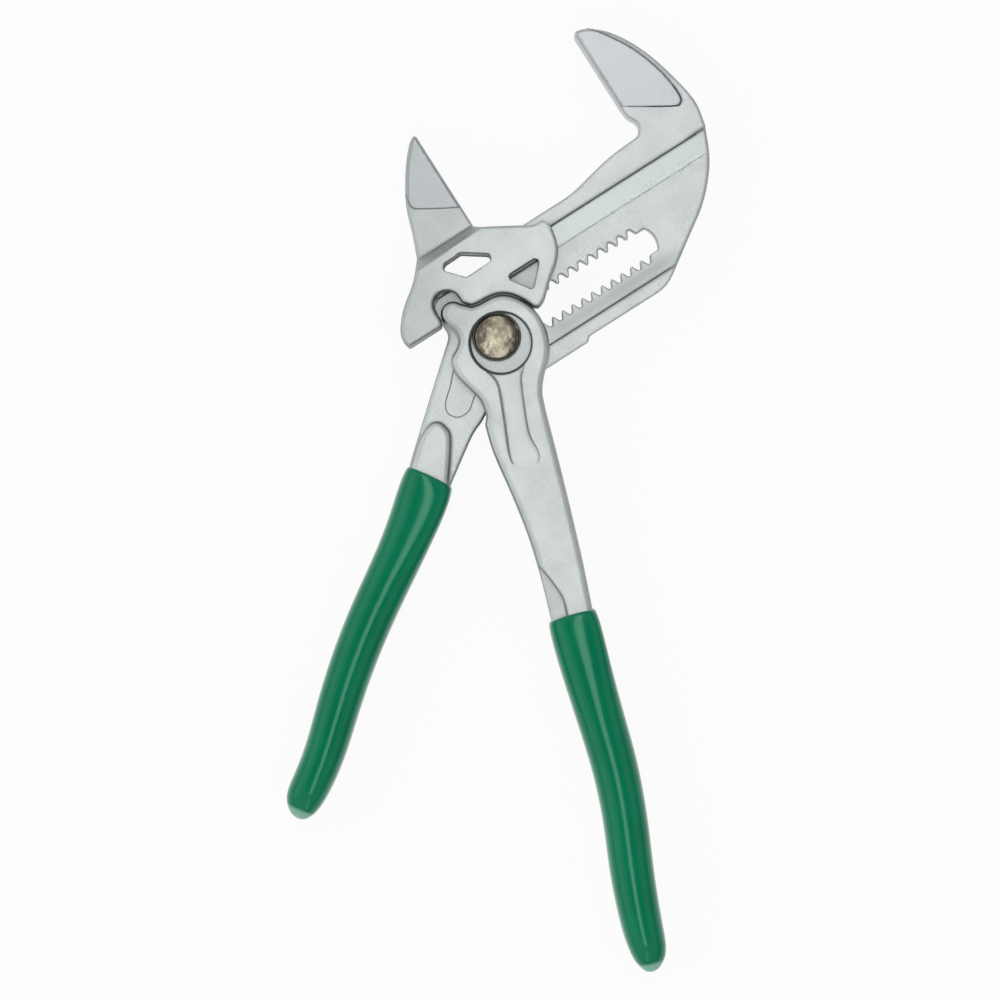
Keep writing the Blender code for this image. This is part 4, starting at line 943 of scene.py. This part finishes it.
# %% The push button
BUTTON_TOP_STEPS = [(0.02, 0.3), (0.06, 0.22), (0.16, 0.12), (0.3, 0.08), (1.1, 0.08),
                    (1.2, 0.05), (0.8, 0.0)]
BUTTON_FOOT_STEPS = [(0.15, 0.1), (3.0, 0.0), (0.02, 2.4)]
button = turned_blank("domed_button", vertices=48, radius=4.58, depth=1.9, middle=10.35)
raise_face(button, 1, BUTTON_TOP_STEPS)
raise_face(button, -1, BUTTON_FOOT_STEPS)
apply_modifier(button, "SUBSURF", levels=2)
only(button)
bpy.ops.object.shade_smooth()
use_material(button, button_nickel())
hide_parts("push_button")
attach(button, "lock")

# %% [markdown]
# ## Painted shade round the button
# A soft dark ring between the button and the head is painted shade in the gap. A ring that is
# flattened and roughly pushed about in edit mode makes it. It is a matt brown grey, mottled over
# about a millimetre, that closes the gap.

# %% Painted gap shade
MOTTLE_SIZE = 0.8
GAP_SHADE_HEIGHT = 11.5


def gap_shade_material():
    material, tree, shader, place = new_finish("painted_gap_shade")
    shader.inputs["Roughness"].default_value = 0.45
    mottle = add_node(tree, "TexNoise",
                      {"Scale": 1 / (MOTTLE_SIZE * MM), "Detail": 2.0}, {"Vector": place})
    tone = two_tones(tree, mottle, 0.35, 0.65, "#5E5B54", "#77746B")
    feed(tree, shader, {"Base Color": tone})
    return material


# A dark ring of painted shade in the gap between the button and the head.
bpy.ops.mesh.primitive_torus_add(major_radius=4.78 * MM, minor_radius=0.15 * MM,
                                 major_segments=72, minor_segments=10,
                                 location=(0, 0, GAP_SHADE_HEIGHT * MM))
gap_shade = bpy.context.active_object
gap_shade.name = gap_shade.data.name = "painted_gap_shade_ring"
bpy.ops.object.transform_apply(location=True, rotation=False, scale=False)
bpy.ops.object.mode_set(mode="EDIT")
bpy.ops.mesh.select_all(action="SELECT")
bpy.ops.transform.resize(value=(1, 1, 0.6), center_override=(0, 0, GAP_SHADE_HEIGHT * MM))
bpy.ops.transform.vertex_random(offset=0.02 * MM, seed=4)
bpy.ops.object.mode_set(mode="OBJECT")
bpy.ops.object.shade_smooth()
use_material(gap_shade, gap_shade_material())
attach(gap_shade, "handle")
print("grease ring of", len(gap_shade.data.polygons), "faces")

# %% [markdown]
# ## Lines of painted shade
# Where a wall meets a floor, the panel, the recess and the engraved oval are edged with a fine
# dark line of painted shade. It is matt and a little metallic, with a speckle of lighter and
# darker. Bump can't draw a line this sharp, so each one is a thin tube through listed points. It
# is dropped onto the skin and sinks into it, so only a little of it stands out.

# %% Painted shade lines
SPECKLE_SIZE = 0.6


def shade_line_finish(name, hex_colour):
    material, tree, shader, place = new_finish(name)
    shader.inputs["Roughness"].default_value = 0.6
    shader.inputs["Metallic"].default_value = 0.4
    # A speckle makes the painted shade line a little lighter and darker in places.
    speckle = add_node(tree, "TexNoise",
                      {"Scale": 1 / (SPECKLE_SIZE * MM), "Detail": 2.0}, {"Vector": place})
    amount = add_node(tree, "MapRange",
                      {"From Min": 0.3, "From Max": 0.7, "To Min": 1.2, "To Max": 0.8},
                      {"Value": speckle})
    colour = add_node(tree, "VectorMath",
                      {"operation": "SCALE", 0: linear(hex_colour)[:3]}, {"Scale": amount})
    feed(tree, shader, {"Base Color": colour})
    return material


# Two strengths of painted shade line.
dark_line = shade_line_finish("dark_painted_shade_line", "#4C5150")
faint_line = shade_line_finish("faint_painted_shade_line", "#8C9291")
print("two painted_shade_finishes made")


# %% Helpers for crevice lines
def smooth_line(points, closed, pieces=5):
    """A smooth run through given points (Catmull-Rom)."""
    run = []
    near = points[-1:] + points + points[:2] if closed else points[:1] + points + points[-1:]
    for four in zip(near, near[1:], near[2:], near[3:]):
        a, b, c, d = map(Vector, four)
        for k in range(pieces):
            u = k / pieces
            run.append(0.5 * (2 * b + (c - a) * u + (2 * a - 5 * b + 4 * c - d) * u ** 2
                              + (3 * b - a - 3 * c + d) * u ** 3))
    if not closed:
        run.append(Vector(points[-1]))
    return run


RAY_HEIGHT = 20 * MM
SUNK_SHARE = 0.25


def dropped(run, skin, side, width, swell):
    """Drops a run onto the upper (1) or lower (-1) face, partly sunk: places and widths."""
    places = []
    for p in run:
        start = Vector((p.x * MM, p.y * MM, MIDDLE_Z + side * RAY_HEIGHT))
        hit, spot, normal, face = skin.ray_cast(start, Vector((0, 0, -side)))
        if hit:
            share = swell(p.x, p.y)
            sunk = side * width * share * SUNK_SHARE * MM
            places.append((spot - Vector((0, 0, sunk)), share))
    return places


def tube(name, places, width, closed):
    data = bpy.data.curves.new(name, "CURVE")
    data.dimensions = "3D"
    data.bevel_depth = width / 2 * MM
    data.bevel_resolution = 1
    line = data.splines.new("POLY")
    line.points.add(len(places) - 1)
    for point, (place, share) in zip(line.points, places):
        point.co = (*place, 1)
        point.radius = share
    line.use_cyclic_u = closed
    part = bpy.data.objects.new(name, data)
    bpy.context.scene.collection.objects.link(part)
    return part


# %% Draw a crevice line
def crevice_line(name, points, skin, body, width, material=dark_line, closed=False,
                 sides=(1, -1), swell=lambda x, y: 1.0):
    """A line of painted shade through (x, y) points in mm, on the upper and the lower face of a
    skin.

    swell gives the line's width at an (x, y) place, as a share of its full width."""
    run = smooth_line(points, closed)
    parts = [tube(name, dropped(run, skin, side, width, swell), width, closed)
             for side in sides]
    bpy.ops.object.select_all(action="DESELECT")
    for part in parts:
        part.select_set(True)
    bpy.context.view_layer.objects.active = parts[0]
    bpy.ops.object.convert(target="MESH")
    if len(parts) > 1:
        bpy.ops.object.join()
    line = bpy.context.active_object
    line.name = line.data.name = name
    bpy.ops.object.shade_smooth()
    use_material(line, material)
    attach(line, body)
    print(name, len(run), "points")


def along_arm(arm, rows):
    """Points given along and across an arm, turned to the tool's x and y, all in mm."""
    angle = ARM_ANGLES[arm]
    return [(s * cos(angle) - a * sin(angle), s * sin(angle) + a * cos(angle))
            for s, a in rows]


# %% [markdown]
# The handle lever has a panel between two faint lines, which fade out towards
# its foot, a scoop above the grip, whose border widens, and the round recess
# of the button. The recess line is darkest on the side that faces away from
# the light, and panel and recess are on the front only.

# %% Lines on the handle lever
PANEL_LEFT_ROWS = [(6.9, -3.4), (8.9, -2.3), (11.7, -2.2), (18.9, -2.8), (24.0, -3.2),
                   (26.0, -2.9)]
PANEL_RIGHT_ROWS = [(7.9, 3.6), (10.0, 2.8), (15.0, 2.2), (20.0, 1.8), (22.4, 2.1),
                    (24.3, 2.7), (25.9, 2.7), (27.1, 2.0)]
SCOOP_ROWS = [(45.8, -3.8), (49.0, -1.8), (52.4, -0.3), (55.2, 0.7), (57.6, 0.8),
              (59.6, 0.8)]
RECESS_LINE_RADIUS = 6.4
DARKEST_SIDE = radians(200)


def fading(x, y):
    """A panel line is full near the recess and runs out at the panel's foot."""
    return min(max((28.5 + y) / 8.0, 0.25), 1.0)


def scoop_shade(x, y):
    """The scoop's border starts as a hair line and widens towards the grip."""
    return min(max((-45.0 - y) / 9.0, 0.3), 1.0)


def recess_shade(x, y):
    """The recess wall looks widest at the photograph's left."""
    turn = atan2(y - RECESS_CENTRE[1], x - RECESS_CENTRE[0]) - PHOTO_TURN
    return 0.75 + 0.25 * cos(turn - DARKEST_SIDE)


for name, rows in (("panel_line_left", PANEL_LEFT_ROWS), ("panel_line_right", PANEL_RIGHT_ROWS)):
    crevice_line(name, along_arm("handle", rows), handle_forging, "handle", 0.5, faint_line,
                 sides=(1,), swell=fading)
crevice_line("scoop_line", along_arm("handle", SCOOP_ROWS), handle_forging, "handle", 0.7,
             faint_line, swell=scoop_shade)
circle = [(RECESS_CENTRE[0] + RECESS_LINE_RADIUS * cos(k * pi / 12),
           RECESS_CENTRE[1] + RECESS_LINE_RADIUS * sin(k * pi / 12)) for k in range(24)]
crevice_line("recess_line", circle, handle_forging, "handle", 0.8, closed=True,
             sides=(1,), swell=recess_shade)

# %% [markdown]
# The main lever has the engraved oval, the two borders of the track, the band below the slot and
# the step round the jaw's ground flat. The line on the track's lower border comes and goes along
# the slide's way. The ground flat of the sliding jaw has a hair line of its own.

# %% Lines on the main lever and the sliding jaw
OVAL_POINTS = [(-8.5, -6.0), (-9.5, -9.9), (-10.5, -13.5), (-10.0, -15.6), (-7.9, -16.4),
               (-5.8, -15.2), (-4.7, -12.5), (-3.4, -9.0), (-3.4, -6.0), (-5.8, -4.4)]
JAW_FLAT_ROWS = [(46.9, 26.2), (55.9, 20.6), (57.5, 20.3), (58.2, 21.7), (58.0, 25.5),
                 (57.1, 29.7), (55.2, 34.9), (52.6, 39.5), (50.5, 42.5), (49.4, 43.6)]
SLIDE_FLAT_ROWS = [(8.0, 26.5), (4.0, 28.7), (0.4, 31.0), (-0.35, 31.9), (-0.3, 33.2),
                   (0.3, 35.8)]


def comes_and_goes(x, y):
    """The painted shade line thins out and comes back along the slide's way."""
    return 0.45 + 0.35 * sin(x * 1.9) * sin(x * 0.53 + 1.0) + 0.2 * sin(x * 4.7)


def jaw_flat_shade(x, y):
    """The step is deep at its straight lower end and runs out along the back."""
    return 1.0 if y < 24.0 else 0.45


oval = [tuple(from_photo(x, y, 0).xy) for x, y in OVAL_POINTS]
track_lower = [(8.0 + 51.0 * k / 40, 8.7) for k in range(41)]
crevice_line("oval_line", oval, main_forging, "main", 0.4, faint_line, closed=True)
crevice_line("track_upper_line", [(8.0, 13.25), (30.0, 13.25), (57.0, 13.25)],
             main_forging, "main", 0.26)
crevice_line("track_lower_line", track_lower, main_forging, "main", 0.2, faint_line,
             swell=comes_and_goes)
crevice_line("band_line", [(3.0, -7.1), (20.0, -7.1), (40.5, -7.1)], main_forging,
             "main", 0.26)
crevice_line("jaw_flat_line", JAW_FLAT_ROWS, main_forging, "main", 0.4,
             swell=jaw_flat_shade)
crevice_line("slide_flat_line", SLIDE_FLAT_ROWS, jaw_forging, "jaw", 0.16)

# %% [markdown]
# ## End
# The dressed tool must fill the same box as the CAD model.

# %% End
print("dressing done")
